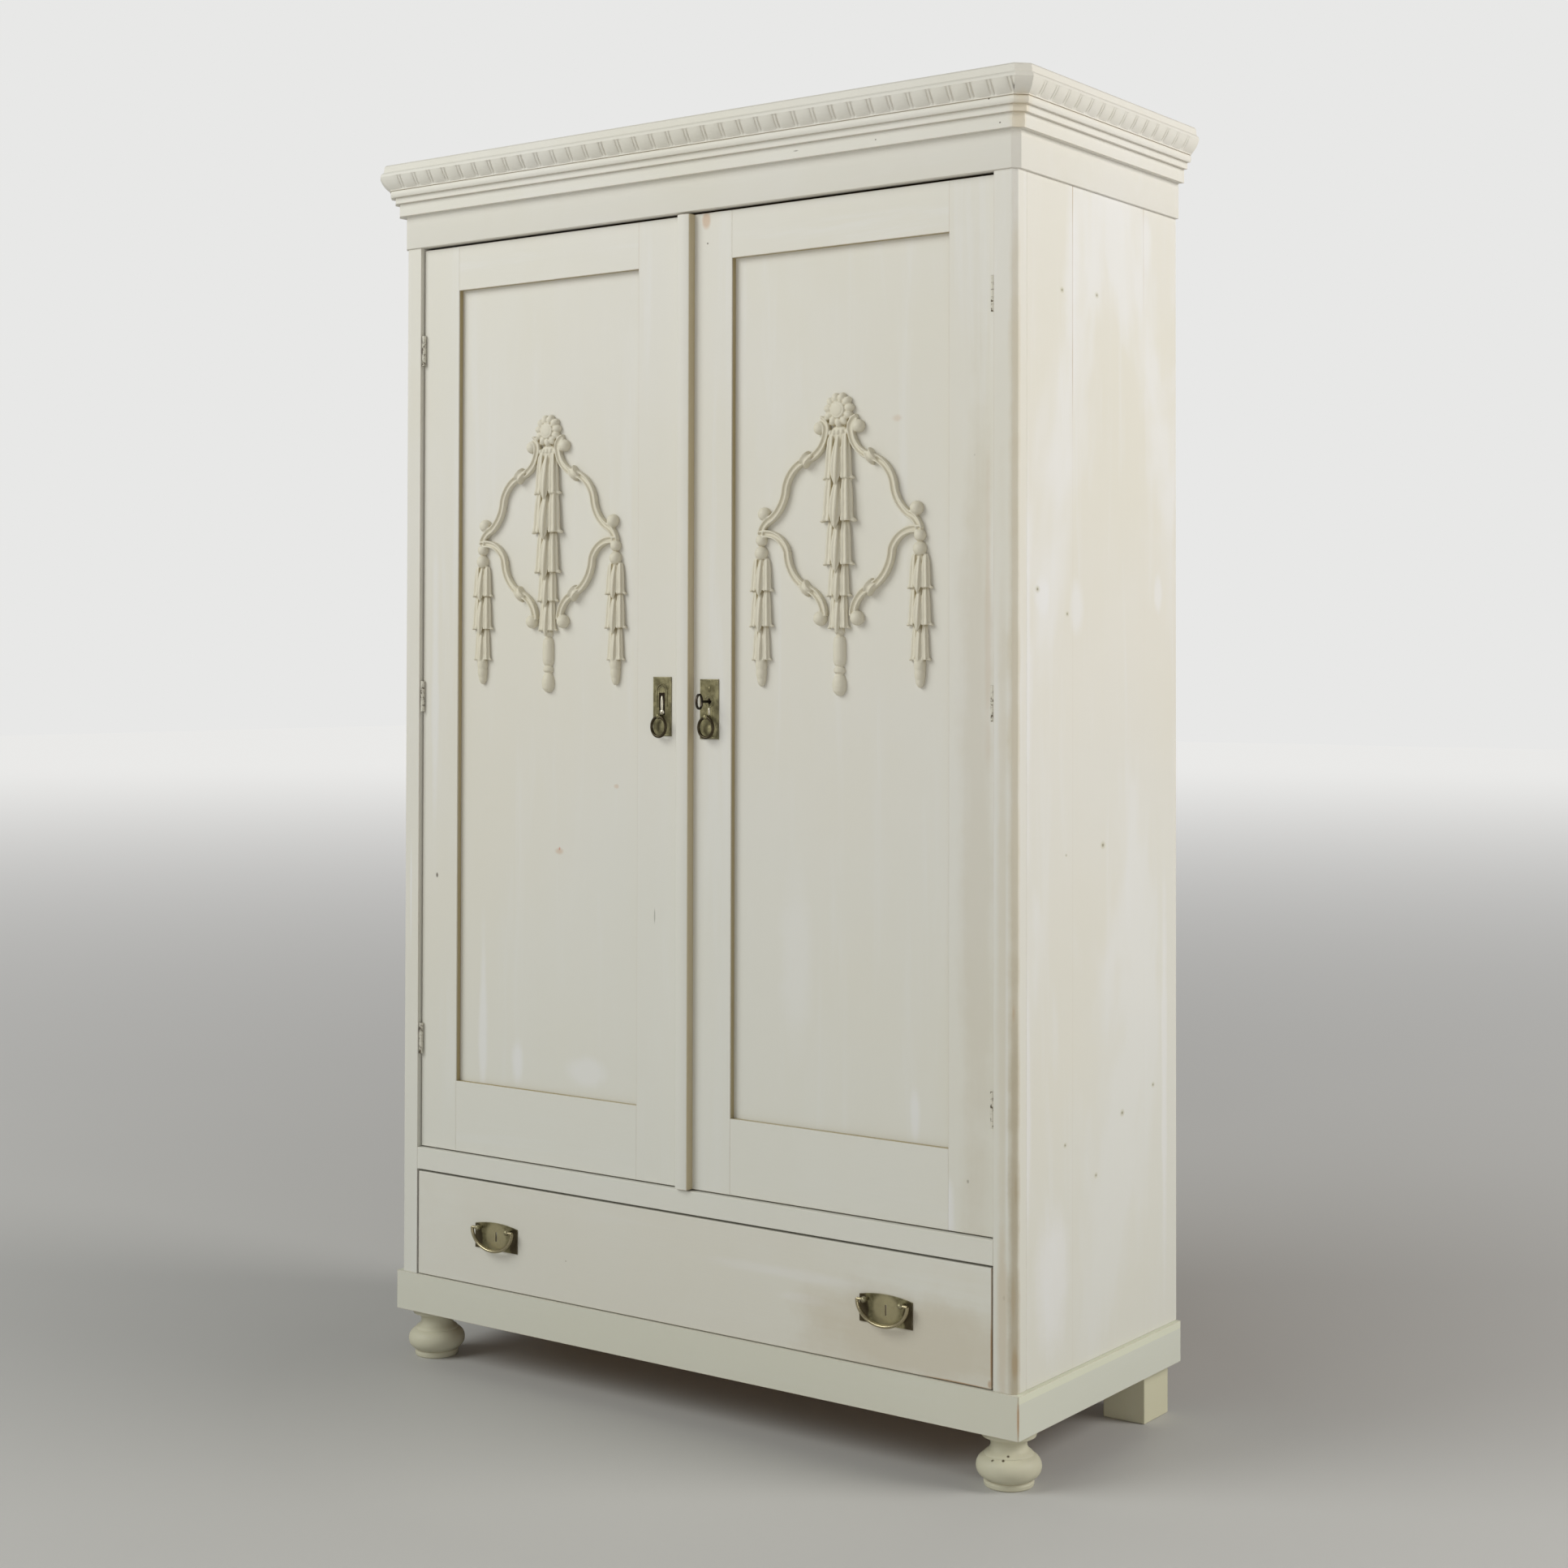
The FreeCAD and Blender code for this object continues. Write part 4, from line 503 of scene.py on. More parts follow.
dress(pines["Y"], 0.8, "side_cleats", "drawer_sides", "corner_blocks")
dress(pines["Z"], 0.8, "back_boards")
dress(hingeFinish, 0, "frame_hinge_leaves", "hinge_pins", "left_hinge_leaves", "right_hinge_leaves")
dress(brass, 0, "left_lock_plate", "right_lock_plate")
dress(pullBrass, 0, "pull_plates")
dress(iron, 0, "key", "lock_case", "lock_bolt", "upper_bolt", "lower_bolt", "left_bolt_guides")
print("stage: nodes dressed")


# Building blocks
def meshOf(name, bm):
    mesh = bpy.data.meshes.new(name)
    bm.to_mesh(mesh)
    bm.free()
    return mesh


def placed(name, data):
    # a new object in the scene
    made = bpy.data.objects.new(name, data)
    bpy.context.scene.collection.objects.link(made)
    return made


def keepPiece(bm, name, material, body, stands=(), sharp=34):
    # the finished mesh as an object that moves with its body and stands for the CAD nodes named
    bmesh.ops.recalc_face_normals(bm, faces=bm.faces)
    for face in bm.faces:
        face.smooth = True
    for edge in bm.edges:
        edge.smooth = edge.is_manifold and edge.calc_face_angle(0) < math.radians(sharp)
    piece = placed(name, meshOf(name, bm))
    piece.data.materials.append(material)
    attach(piece, body)
    if stands:
        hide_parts(*stands)
    return piece


def pour(whole, part):
    # join a part to the whole as it stands
    mesh = meshOf("part", part)
    whole.from_mesh(mesh)
    bpy.data.meshes.remove(mesh)


def add(whole, part, matrix=Matrix.Identity(4)):
    # close a part, set it in place and join it to the whole
    bmesh.ops.remove_doubles(part, verts=part.verts, dist=0.01 * mm)
    bmesh.ops.holes_fill(part, edges=part.edges, sides=0)
    bmesh.ops.recalc_face_normals(part, faces=part.faces)
    part.transform(matrix)
    pour(whole, part)


def cut(part, place, normal):
    # take away what lies beyond a plane
    everything = part.verts[:] + part.edges[:] + part.faces[:]
    bmesh.ops.bisect_plane(part, geom=everything, plane_co=place, plane_no=normal, clear_outer=True)


def spun(outline, steps=24):
    # a turned form round z from (radius, height) points
    part = bmesh.new()
    corners = [part.verts.new((radius, 0, high)) for radius, high in outline]
    lines = [part.edges.new(pair) for pair in zip(corners, corners[1:])]
    bmesh.ops.spin(
        part, geom=corners + lines, axis=(0, 0, 1), cent=(0, 0, 0), steps=steps, angle=math.tau,
        use_merge=True)
    return part


def circleThrough(a, b, c):
    # centre of the circle through three points of a plane, and the turn from the first to the last
    (ax, ay), (bx, by), (cx, cy) = a, b, c
    split = 2 * (ax * (by - cy) + bx * (cy - ay) + cx * (ay - by))
    squares = [ax * ax + ay * ay, bx * bx + by * by, cx * cx + cy * cy]
    centre = Vector((
        (squares[0] * (by - cy) + squares[1] * (cy - ay) + squares[2] * (ay - by)) / split,
        (squares[0] * (cx - bx) + squares[1] * (ax - cx) + squares[2] * (bx - ax)) / split,
    ))
    spokes = [Vector(point) - centre for point in (a, b, c)]
    angles = [math.atan2(spoke.y, spoke.x) for spoke in spokes]
    turn = (angles[2] - angles[0]) % math.tau
    if (angles[1] - angles[0]) % math.tau > turn:
        turn -= math.tau
    return centre, spokes[0], turn


def arcPoints(a, b, c, count):
    centre, spoke, turn = circleThrough(a, b, c)
    return [tuple(centre + Matrix.Rotation(turn * step / count, 2) @ spoke) for step in range(count + 1)]


def shareOutline(shares, wide, tall, count):
    # Points of an outline that is given in shares of its width and height, each with the number of
    # its share and of its step there. A share with a third and fourth value is a point that the
    # curve to the next point passes.
    for index, share in enumerate(shares):
        start = (share[0] * wide, share[1] * tall)
        if len(share) == 2:
            yield start, index, 0
            continue
        after = shares[index + 1]
        through = (share[2] * wide, share[3] * tall)
        spots = arcPoints(start, through, (after[0] * wide, after[1] * tall), count)
        for step, spot in enumerate(spots[:-1]):
            yield spot, index, step


def bar(a, b, c, section, wide, rise, steps=10):
    # a bar on the panel (its plane is x and z, outward is -y) along an arc through three points
    centre, spoke, turn = circleThrough(a, b, c)
    out = spoke.normalized()
    part = bmesh.new()
    corners = []
    for across, proud in section:
        spot = centre + spoke + out * across * wide
        corners.append(part.verts.new((spot.x, -proud * rise, spot.y)))
    lines = [part.edges.new((corners[i - 1], corners[i])) for i in range(len(corners))]
    bmesh.ops.spin(
        part, geom=corners + lines, axis=(0, -1, 0), cent=(centre.x, 0, centre.y), steps=steps, angle=turn)
    return part


def pod(outline, place, size, lean=0.0, steps=20, flutes=0, depth=0.0):
    # a turned form scaled to (half width, half depth, height), fluted, leaned and set on the panel
    part = spun(outline, steps)
    for corner in part.verts:
        if flutes:
            angle = math.atan2(corner.co.y, corner.co.x)
            keep = 1 - depth * (0.5 - 0.5 * math.cos(flutes * angle)) ** 2
            corner.co.x *= keep
            corner.co.y *= keep
    turn = Matrix.Translation(place) @ Matrix.Rotation(lean, 4, "Y") @ Matrix.Diagonal((*size, 1))
    return part, turn


# Carved ornaments
# Distances from the axis are shares of the side drops' distance, and heights are shares of the
# drop down from the middle of the rosette, as in the solids. The arms are a chain of arcs, and
# every second point of the chain is one that its arc passes.
ornamentLook = {
    "reachShare": 0.122, "rosette": 25 * mm, "drop": (0.976, 0.072), "proud": 1.3,
    "arms": [
        (0.23, 0.03), (0.176, 0.042), (0.158, 0.078), (0.235, 0.135), (0.409, 0.169), (0.602, 0.211),
        (0.687, 0.283), (0.746, 0.332), (0.867, 0.375), (0.953, 0.395), (1.0, 0.429), (0.816, 0.436),
        (0.659, 0.494), (0.581, 0.574), (0.403, 0.625), (0.237, 0.666), (0.183, 0.724),
    ],
    "section": [(-1, 0), (-1, 0.78), (-0.86, 0.98), (-0.6, 1), (-0.3, 0.66), (0.3, 0.66), (0.6, 1),
                (0.86, 0.98), (1, 0.78), (1, 0)],
    "armWide": 5.6 * mm, "armRise": 9.5 * mm,
    "cuffs": [((0.409, 0.169), 52), ((0.403, 0.625), -52)],
    "cuffAt": -4.2 * mm, "cuff": (10.2 * mm, 9.0 * mm, 6.6 * mm),
    "balls": [(0.245, 0.06, 0.07), (0.961, 0.356, 0.074), (1.0, 0.45, 0.066), (1.0, 0.496, 0.075),
              (0.232, 0.732, 0.078)],
    "husks": [
        (0.0, 0.085, 0.243, 0.158), (0.0, 0.228, 0.392, 0.178), (0.0, 0.378, 0.545, 0.154),
        (0.0, 0.53, 0.655, 0.126), (0.0, 0.64, 0.768, 0.112),
        (1.0, 0.515, 0.632, 0.122), (1.0, 0.625, 0.76, 0.126), (1.0, 0.75, 0.88, 0.104),
    ],
    "dropEnds": [(0.895, 0.064), (0.925, 0.06), (0.946, 0.05)],
    "petals": 11, "petalAt": 18.2 * mm, "petalRise": -3.2 * mm, "petal": 7.4 * mm,
    "button": [(0, 12.5), (5, 12.4), (8.6, 11.6), (9.6, 10.4), (10.2, 11), (11.6, 11), (12.4, 9.5),
               (13, 0)],
    "beads": 5, "beadDrop": 0.079, "beadStep": 7.2 * mm, "bead": 4.4 * mm, "beadRise": -5 * mm,
    "voxel": 0.85 * mm, "kept": 0.43,
}
bellShares = [(0, 1.04), (0.42, 1.02), (0.6, 0.94), (0.72, 0.75), (0.78, 0.5), (0.82, 0.28),
              (0.86, 0.1), (0.8, 0.0), (0.5, 0.02), (0, 0.05)]
leafShares = [(0, 1.0), (0.28, 0.96), (0.54, 0.87), (0.8, 0.7), (0.96, 0.53), (1.0, 0.4),
              (0.92, 0.26), (0.7, 0.13), (0.36, 0.03), (0, -0.04)]
lobeShares = [(0, 1.0), (0.5, 0.98), (0.8, 0.88), (0.96, 0.66), (1.0, 0.4), (1.0, 0.16),
              (1.14, 0.04), (1.02, 0.0), (0.5, 0.03), (0, 0.05)]
cuffShares = [(0, -1), (0.95, -1), (1.25, -0.85), (0.9, -0.2), (0.9, 0.2), (1.25, 0.85), (0.95, 1),
              (0, 1)]
finialShares = [
    (0, 0.0), (0.045, 0.004), (0.052, 0.02), (0.03, 0.034), (0.056, 0.046), (0.063, 0.07),
    (0.064, 0.145), (0.054, 0.166), (0.036, 0.176), (0.058, 0.186), (0.058, 0.2), (0.036, 0.21),
    (0.054, 0.222), (0.067, 0.242), (0.07, 0.264), (0.062, 0.288), (0.034, 0.305), (0, 0.308),
]
ballShares = [(math.sin(math.pi * step / 12), -math.cos(math.pi * step / 12)) for step in range(13)]


def addBall(whole, place, size, lean=0.0, steps=20):
    add(whole, *pod(ballShares, place, size, lean, steps))


def slanted(part, turn, slant):
    # a pod whose foot stands further out than its top
    for corner in part.verts:
        corner.co.y += slant * (corner.co.z - 0.5)
    return part, turn


def addHusk(whole, across, top, foot, half, proud):
    # a fluted bell under a long pointed leaf and two side lobes, with tips that flick outwards
    tall = top - foot
    deep = 0.5 * half * proud
    bell = (across, 0, foot + 0.04 * tall)
    size = (half * 0.86, deep * 0.86, tall * 0.96)
    add(whole, *pod(bellShares, bell, size, flutes=10, depth=0.14, steps=40))
    for hand in (-1, 1):
        side = (across + hand * half * 0.66, -deep * 0.34, foot)
        lobe = pod(lobeShares, side, (half * 0.4, deep * 0.64, tall * 1.02), hand * -0.04, 32, 6, 0.32)
        add(whole, *slanted(*lobe, 0.25))
        tip = (across + hand * half * 1.04, -deep * 0.34, foot + 0.03 * tall)
        addBall(whole, tip, (half * 0.26, half * 0.22, half * 0.13), hand * 0.35, 12)
    centre = (across, -deep * 0.7, foot - 0.13 * tall)
    leaf = pod(leafShares, centre, (half * 0.4, deep * 0.72, tall * 1.12), 0, 36, 6, 0.24)
    add(whole, *slanted(*leaf, 0.8))


def addRosette(whole, drop, reach):
    # a button with a ring of petals over a short string of beads
    look = ornamentLook
    button = [(radius * mm, high * mm) for radius, high in look["button"]]
    add(whole, spun(button, 32), Matrix.Rotation(quarter, 4, "X"))
    petal, bead = look["petal"], look["bead"]
    for step in range(look["petals"]):
        angle = math.tau * (step + 0.5) / look["petals"]
        spot = (math.sin(angle) * look["petalAt"], look["petalRise"], math.cos(angle) * look["petalAt"])
        addBall(whole, spot, (petal * 0.86, petal * 1.05, petal * 1.08), angle, 14)
    for step in range(look["beads"]):
        shift = step - (look["beads"] - 1) / 2
        rise = look["beadRise"] * (1 - 0.08 * shift * shift)
        spot = (shift * look["beadStep"], rise, -look["beadDrop"] * drop)
        addBall(whole, spot, (bead * 0.85, bead * 1.2, bead), 0, 12)
    addBall(whole, (0, 0, -0.082 * drop), (0.13 * reach, 8 * mm, 0.03 * drop), 0, 24)


def makeOrnament(side):
    look = ornamentLook
    low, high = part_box(side + "_ornament")
    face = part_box(side + "_panel")[0].y
    reach = (high.x - low.x) / 2 / (1 + look["reachShare"])
    rosette = high.z - look["rosette"]
    drop = (rosette - low.z - look["drop"][1] * reach) / look["drop"][0]
    whole = bmesh.new()
    addRosette(whole, drop, reach)
    for away, top, foot, half in look["husks"]:
        for hand in (-1, 1) if away else (1,):
            addHusk(whole, hand * away * reach, -top * drop, -foot * drop, half * reach, look["proud"])
    for hand in (-1, 1):
        for away, down, radius in look["balls"]:
            spot = (hand * away * reach, -radius * reach * 0.35, -down * drop)
            addBall(whole, spot, [radius * reach] * 3)
        chain = [(hand * away * reach, -down * drop) for away, down in look["arms"]]
        for start in range(0, len(chain) - 2, 2):
            add(whole, bar(*chain[start:start + 3], look["section"], look["armWide"], look["armRise"]))
        for (away, down), lean in look["cuffs"]:
            spot = (hand * away * reach, look["cuffAt"], -down * drop)
            add(whole, *pod(cuffShares, spot, look["cuff"], hand * math.radians(lean)))
        for down, radius in look["dropEnds"]:
            size = radius * reach
            addBall(whole, (hand * reach, -size * 0.4, -down * drop), (size, size, size * 1.7), 0, 16)
    add(whole, spun([(1.2 * wide * reach, -(0.766 + 0.775 * down) * drop) for wide, down in finialShares]))
    cut(whole, (0, 0.5 * mm, 0), (0, 1, 0))
    bmesh.ops.holes_fill(whole, edges=whole.edges, sides=0)
    whole.transform(Matrix.Translation(((low.x + high.x) / 2, face, rosette)))
    piece = keepPiece(whole, side + "Carving", paints["carved"], side + "_door", [side + "_ornament"])
    modify(piece, "skin", "REMESH", mode="VOXEL", voxel_size=look["voxel"], use_smooth_shade=True)
    modify(piece, "softer", "SMOOTH", factor=0.5, iterations=1)
    modify(piece, "lighter", "DECIMATE", ratio=look["kept"])


makeOrnament("left")
makeOrnament("right")
print("stage: ornaments")


# Cornice
# The moulding's outline is in shares of how far it stands out and of its height, as in the
# solids. The grooves are (distance from the middle of a pair in millimetres, share of the depth).
corniceLook = {
    "outline": [
        (0.0, 0.0), (0.271, 0.0), (0.271, 0.247), (0.429, 0.247), (0.429, 0.367),
        (0.571, 0.367, 0.614, 0.434), (0.571, 0.5), (0.629, 0.5), (0.629, 0.518, 0.857, 0.627),
        (1.0, 0.765), (0.971, 0.813), (0.871, 0.855), (0.843, 0.97), (0.771, 1.0), (0.0, 1.0),
    ],
    "carved": 8, "arcSteps": 12, "cant": 10.2 * mm, "mitre": 0.767, "spare": 60 * mm,
    "pairs": 36, "sidePairs": 14, "cornerShare": 0.39, "firstGap": 28 * mm, "lastGap": -4 * mm,
    "sideDepth": 0.8, "sideGap": 8 * mm, "sidePitch": 33.2 * mm, "wander": 0.4 * mm,
    "friezeThick": 18 * mm, "friezeEdge": 1.2 * mm,
    "grooves": [(0, 0.3), (1.3, 0.42), (2.4, 1.0), (3.6, 0.95), (4.6, 0.42), (6, 0.3), (9, 0.1),
                (15, 0.02)],
    "depth": 2.9 * mm,
}


def corniceOutline():
    # points of the moulding, each with how deeply the carving may cut there
    look = corniceLook
    low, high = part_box("cornice_front")
    out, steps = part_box("frieze_front")[0].y - low.y, look["arcSteps"]
    return [(spot, math.sin(math.pi * step / steps) ** 0.35 if index == look["carved"] and step else 0.0)
            for spot, index, step in shareOutline(look["outline"], out, high.z - low.z, steps)]


def friezeOutline():
    # a plain board behind the cornice, its lower front edge rounded
    low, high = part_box("frieze_front")
    tall, thick, edge = high.z - low.z, corniceLook["friezeThick"], corniceLook["friezeEdge"]
    corners = [(-thick, 0), (-edge, 0), (-edge * 0.3, edge * 0.3), (0, edge), (0, tall), (-thick, tall)]
    return [(corner, 0.0) for corner in corners]


def moulding(whole, outline, flip, origin, along, out, length, pairs, cuts, strength=1.0):
    # a run of the outline from origin, mirrored by flip, its carved band cut in pairs, its ends
    # cut by planes
    look = corniceLook
    origin, along, out = flip @ origin, flip @ along, flip @ out
    outline = outline + outline[:1]
    stations = {0: 0.0, length: 0.0}
    for place in pairs:
        wander = random.uniform(-look["wander"], look["wander"])
        deep = strength * random.uniform(0.8, 1.1)
        stations.update({
            place + wander + hand * away * mm: share * deep for away, share in look["grooves"]
            for hand in (-1, 1)})
    stations = sorted(stations.items())
    inward = (Vector((0, 0, 0.55)) - out).normalized()
    part = bmesh.new()
    columns, rows = len(stations) - 1, len(outline) - 1
    bmesh.ops.create_grid(part, x_segments=columns, y_segments=rows, size=1)
    for corner in part.verts:
        place, share = stations[round((corner.co.x + 1) / 2 * columns)]
        (across, tall), bite = outline[round((corner.co.y + 1) / 2 * rows)]
        spot = origin + along * place + out * across + Vector((0, 0, tall))
        corner.co = spot + inward * bite * share * look["depth"]
    bmesh.ops.remove_doubles(part, verts=part.verts, dist=0.01 * mm)
    for spot, normal in cuts:
        cut(part, flip @ spot, flip @ normal)
    pour(whole, part)


def makeCrown(kind, outline, carved):
    # the front run with half of each canted corner, and a side run with the other half
    look = corniceLook
    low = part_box(kind + "_front")[0]
    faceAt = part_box("frieze_front")[0].y
    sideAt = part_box("frieze_right")[1].x
    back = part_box(kind + "_right")[1].y
    spare, mitre = look["spare"], look["mitre"]
    right, rear = Vector((1, 0, 0)), Vector((0, 1, 0))
    straight, mirrored = Matrix.Identity(3), Matrix.Diagonal((-1, 1, 1))
    frontCorner = Vector((sideAt - look["cant"], faceAt, low.z))
    sideCorner = Vector((sideAt, faceAt + look["cant"], low.z))
    middle = (frontCorner + sideCorner) / 2
    along = Vector((1, 1, 0)).normalized()
    out = Vector((1, -1, 0)) * (1 + mitre) / 2
    canted = (along, out, (sideCorner - frontCorner).length / 2 + 2 * spare)
    frontCut = Vector((1, mitre, 0)).normalized()
    sideCut = Vector((mitre, 1, 0)).normalized()
    reach = frontCorner.x + look["cornerShare"] * (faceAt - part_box("cornice_front")[0].y)
    pitch = (2 * reach - look["firstGap"] - look["lastGap"]) / (look["pairs"] - 1)
    start = mirrored @ frontCorner - right * spare
    places = [look["firstGap"] - reach + pitch * step - start.x for step in range(look["pairs"])]
    whole = bmesh.new()
    cuts = [(frontCorner, frontCut), (mirrored @ frontCorner, mirrored @ frontCut)]
    length = 2 * (frontCorner.x + spare)
    moulding(whole, outline, straight, start, right, front, length, places if carved else [], cuts)
    for flip in (mirrored, straight):
        cuts = [(frontCorner, -frontCut), (middle, along)]
        moulding(whole, outline, flip, frontCorner - along * spare, *canted, [], cuts)
    bmesh.ops.remove_doubles(whole, verts=whole.verts, dist=0.02 * mm)
    keepPiece(whole, kind + "Front", paints["cornice"], "carcass", [kind + "_front"], 30)
    for flip, name in ((mirrored, "left"), (straight, "right")):
        whole = bmesh.new()
        cuts = [(middle, -along), (sideCorner, sideCut)]
        moulding(whole, outline, flip, middle - along * spare, *canted, [], cuts)
        start = sideCorner - rear * spare
        places = [spare + look["sideGap"] + look["sidePitch"] * step for step in range(look["sidePairs"])]
        cuts = [(sideCorner, -sideCut), (rear * back, rear)]
        length = back - start.y + spare
        moulding(
            whole, outline, flip, start, rear, right, length, places if carved else [], cuts,
            look["sideDepth"])
        bmesh.ops.remove_doubles(whole, verts=whole.verts, dist=0.02 * mm)
        rim = [edge for edge in whole.edges
               if edge.is_boundary and all(corner.co.y > back - mm for corner in edge.verts)]
        bmesh.ops.holes_fill(whole, edges=rim, sides=0)
        keepPiece(whole, kind + name.title(), paints["cornice"], "carcass", [f"{kind}_{name}"], 30)


makeCrown("cornice", corniceOutline(), True)
makeCrown("frieze", friezeOutline(), False)
print("stage: cornice")


# Turned feet
# Shares of the radius and of the height up to the plinth, as in the solids, with a ridge added.
footLook = {
    "outline": [
        (0, 0), (0.72, 0.0), (0.76, 0.025), (0.77, 0.08), (0.73, 0.125), (0.785, 0.15, 1.0, 0.33),
        (0.76, 0.556), (0.752, 0.575), (0.717, 0.6, 0.56, 0.71), (0.83, 0.885), (0.848, 0.91),
        (0.848, 1.0), (0, 1.0),
    ],
    "steps": 64, "arcSteps": 10,
}


def makeFeet():
    look = footLook
    low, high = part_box("bun_feet")
    radius = (high.y - low.y) / 2
    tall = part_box("plinth_front")[0].z
    outline = [spot for spot, index, step in shareOutline(look["outline"], radius, tall, look["arcSteps"])]
    whole = bmesh.new()
    for hand in (-1, 1):
        place = (hand * (high.x - radius), (low.y + high.y) / 2, 0)
        add(whole, spun(outline, look["steps"]), Matrix.Translation(place))
    keepPiece(whole, "turnedFeet", paints["turned"], "carcass", ["bun_feet"], 25)


makeFeet()


# Cover strip
stripLook = {"edge": 3.0 * mm, "crown": 1.2 * mm}


def makeStrip():
    # the strip between the doors: upright flanks and a slightly crowned face
    low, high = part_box("cover_strip")
    middle, edge, crown = (low.x + high.x) / 2, stripLook["edge"], stripLook["crown"]
    shoulder = (low.x + edge * 0.3, low.y + crown + edge * 0.3)
    left = arcPoints((low.x, low.y + crown + edge), shoulder, (low.x + edge, low.y + crown), 4)
    face = arcPoints((low.x + edge, low.y + crown), (middle, low.y), (high.x - edge, low.y + crown), 8)
    right = [(2 * middle - across, along) for across, along in reversed(left)]
    part = bmesh.new()
    outline = [(low.x, high.y), *left, *face[1:-1], *right, (high.x, high.y)]
    corners = [part.verts.new((across, along, low.z)) for across, along in outline]
    bottom = part.faces.new(corners)
    grown = bmesh.ops.extrude_face_region(part, geom=[bottom])["geom"]
    top = [corner for corner in grown if isinstance(corner, bmesh.types.BMVert)]
    bmesh.ops.translate(part, verts=top, vec=(0, 0, high.z - low.z))
    keepPiece(part, "roundedStrip", paints["strip"], "right_door", ["cover_strip"], 40)


makeStrip()


# Rings and bails
wireSides = 14
ringLook = {"wire": 2.3 * mm, "narrow": 0.9, "steps": 48}
bailLook = {"wire": 2.5 * mm, "belly": 1.3, "lower": 2.5 * mm, "pivot": 1.5 * mm, "ball": 31 * mm,
            "steps": 40}


def bentWire(wire, reach, turn, steps, twist=0.0):
    # a round wire bent about y, from the right and downwards
    part = bmesh.new()
    place = Matrix.Translation((reach, 0, 0)) @ Matrix.Rotation(twist, 4, "Z")
    bmesh.ops.create_circle(part, radius=wire, segments=wireSides, matrix=place)
    bmesh.ops.spin(
        part, geom=part.verts[:] + part.edges[:], axis=(0, 1, 0), cent=(0, 0, 0), steps=steps, angle=turn,
        use_merge=(turn == math.tau))
    return part


def makeRing(side):
    # an oval wire ring through the eye of the plate
    look = ringLook
    low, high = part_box(side + "_ring")
    radius = (high.z - low.z) / 2 - look["wire"]
    part = bentWire(look["wire"], radius, math.tau, look["steps"], quarter)
    whole = bmesh.new()
    add(whole, part, Matrix.Translation((low + high) / 2) @ Matrix.Diagonal((look["narrow"], 1, 1, 1)))
    keepPiece(whole, side + "WireRing", darkBrass, side + "_ring", [side + "_ring"], 60)


def makeBail(side):
    # a round wire handle, stouter in the middle, with its ends turned in to the ball heads
    look = bailLook
    low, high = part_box(side + "_bail")
    wire = look["wire"]
    reach = (high.x - low.x) / 2 - wire
    hang = high.z - low.z - look["pivot"] - wire * look["belly"] + look["lower"]
    pivot = Vector(((low.x + high.x) / 2, (low.y + high.y) / 2, high.z - look["pivot"]))
    part = bentWire(wire, reach, math.pi, look["steps"])
    for corner in part.verts:
        core = Vector((corner.co.x, 0, corner.co.z)).normalized() * reach
        swell = 1 + (look["belly"] - 1) * max(0, -core.z / reach)
        corner.co = core + (corner.co - core) * swell
    whole = bmesh.new()
    add(whole, part, Matrix.Translation(pivot) @ Matrix.Diagonal((1, 1, hang / reach, 1)))
    inset = reach - look["ball"]
    for hand in (-1, 1):
        end = pivot + Vector((hand * reach, 0, 0))
        add(whole, spun([(0, 0), (wire * 0.9, 0), (wire * 0.9, inset), (0, inset)], wireSides),
            Matrix.Translation(end) @ Matrix.Rotation(-quarter * hand, 4, "Y"))
    keepPiece(whole, side + "WireBail", bailBrass, side + "_bail", [side + "_bail"], 60)


for side in ("left", "right"):
    makeRing(side)
for side in ("left", "right"):
    makeBail(side)


# Relief on the lock plates
plateLook = {
    "thick": 1.6 * mm, "margin": 1.6 * mm, "rim": 1.5 * mm, "rimRise": 0.7 * mm, "sink": 0.3 * mm,
    "section": [(-1, 0), (-0.9, 0.6), (-0.4, 1), (0.4, 1), (0.9, 0.6), (1, 0)],
    "field": (10.5 * mm, 1.6 * mm, 34 * mm), "lobe": 2.5 * mm, "keyhole": 11.5 * mm,
    "arches": [(9.6, 0.9, 1.2), (6.6, 0.8, 1.0)], "archTop": 20.6 * mm, "legs": 26 * mm,
}


def block(whole, place, size, edge):
    part = bmesh.new()
    bmesh.ops.create_cube(part, size=1)
    part.transform(Matrix.Diagonal((*size, 1)))
    bmesh.ops.bevel(
        part, geom=part.edges[:], offset=edge, segments=2, profile=0.5, affect="EDGES", material=-1)
    add(whole, part, Matrix.Translation(place))


def plateBead(whole, high, *radii):
    # a rounded bead on the middle line of the plate, all in millimetres
    addBall(whole, (0, 0, high * mm), [radius * mm for radius in radii])


def plateRim(whole, wide, tall):
    look = plateLook
    size, rise, margin = look["rim"], 2 * look["rimRise"], look["margin"]
    for hand in (-1, 1):
        upright = (hand * (wide / 2 - margin), 0, 0)
        block(whole, upright, (size, rise, tall - 2 * margin + size), 0.3 * mm)
        level = (0, 0, hand * (tall / 2 - margin))
        block(whole, level, (wide - 2 * margin + size, rise, size), 0.3 * mm)


def dropParts(bright, deep):
    # a long drop in pale metal, a painted highlight, on a dark field that is painted shade
    block(deep, (0, 0, 4 * mm), plateLook["field"], 0.2 * mm)
    plateBead(bright, 3.5, 2.9, 2.8, 13.5)
    plateBead(bright, -8.5, 4.6, 2.6, 4.6)


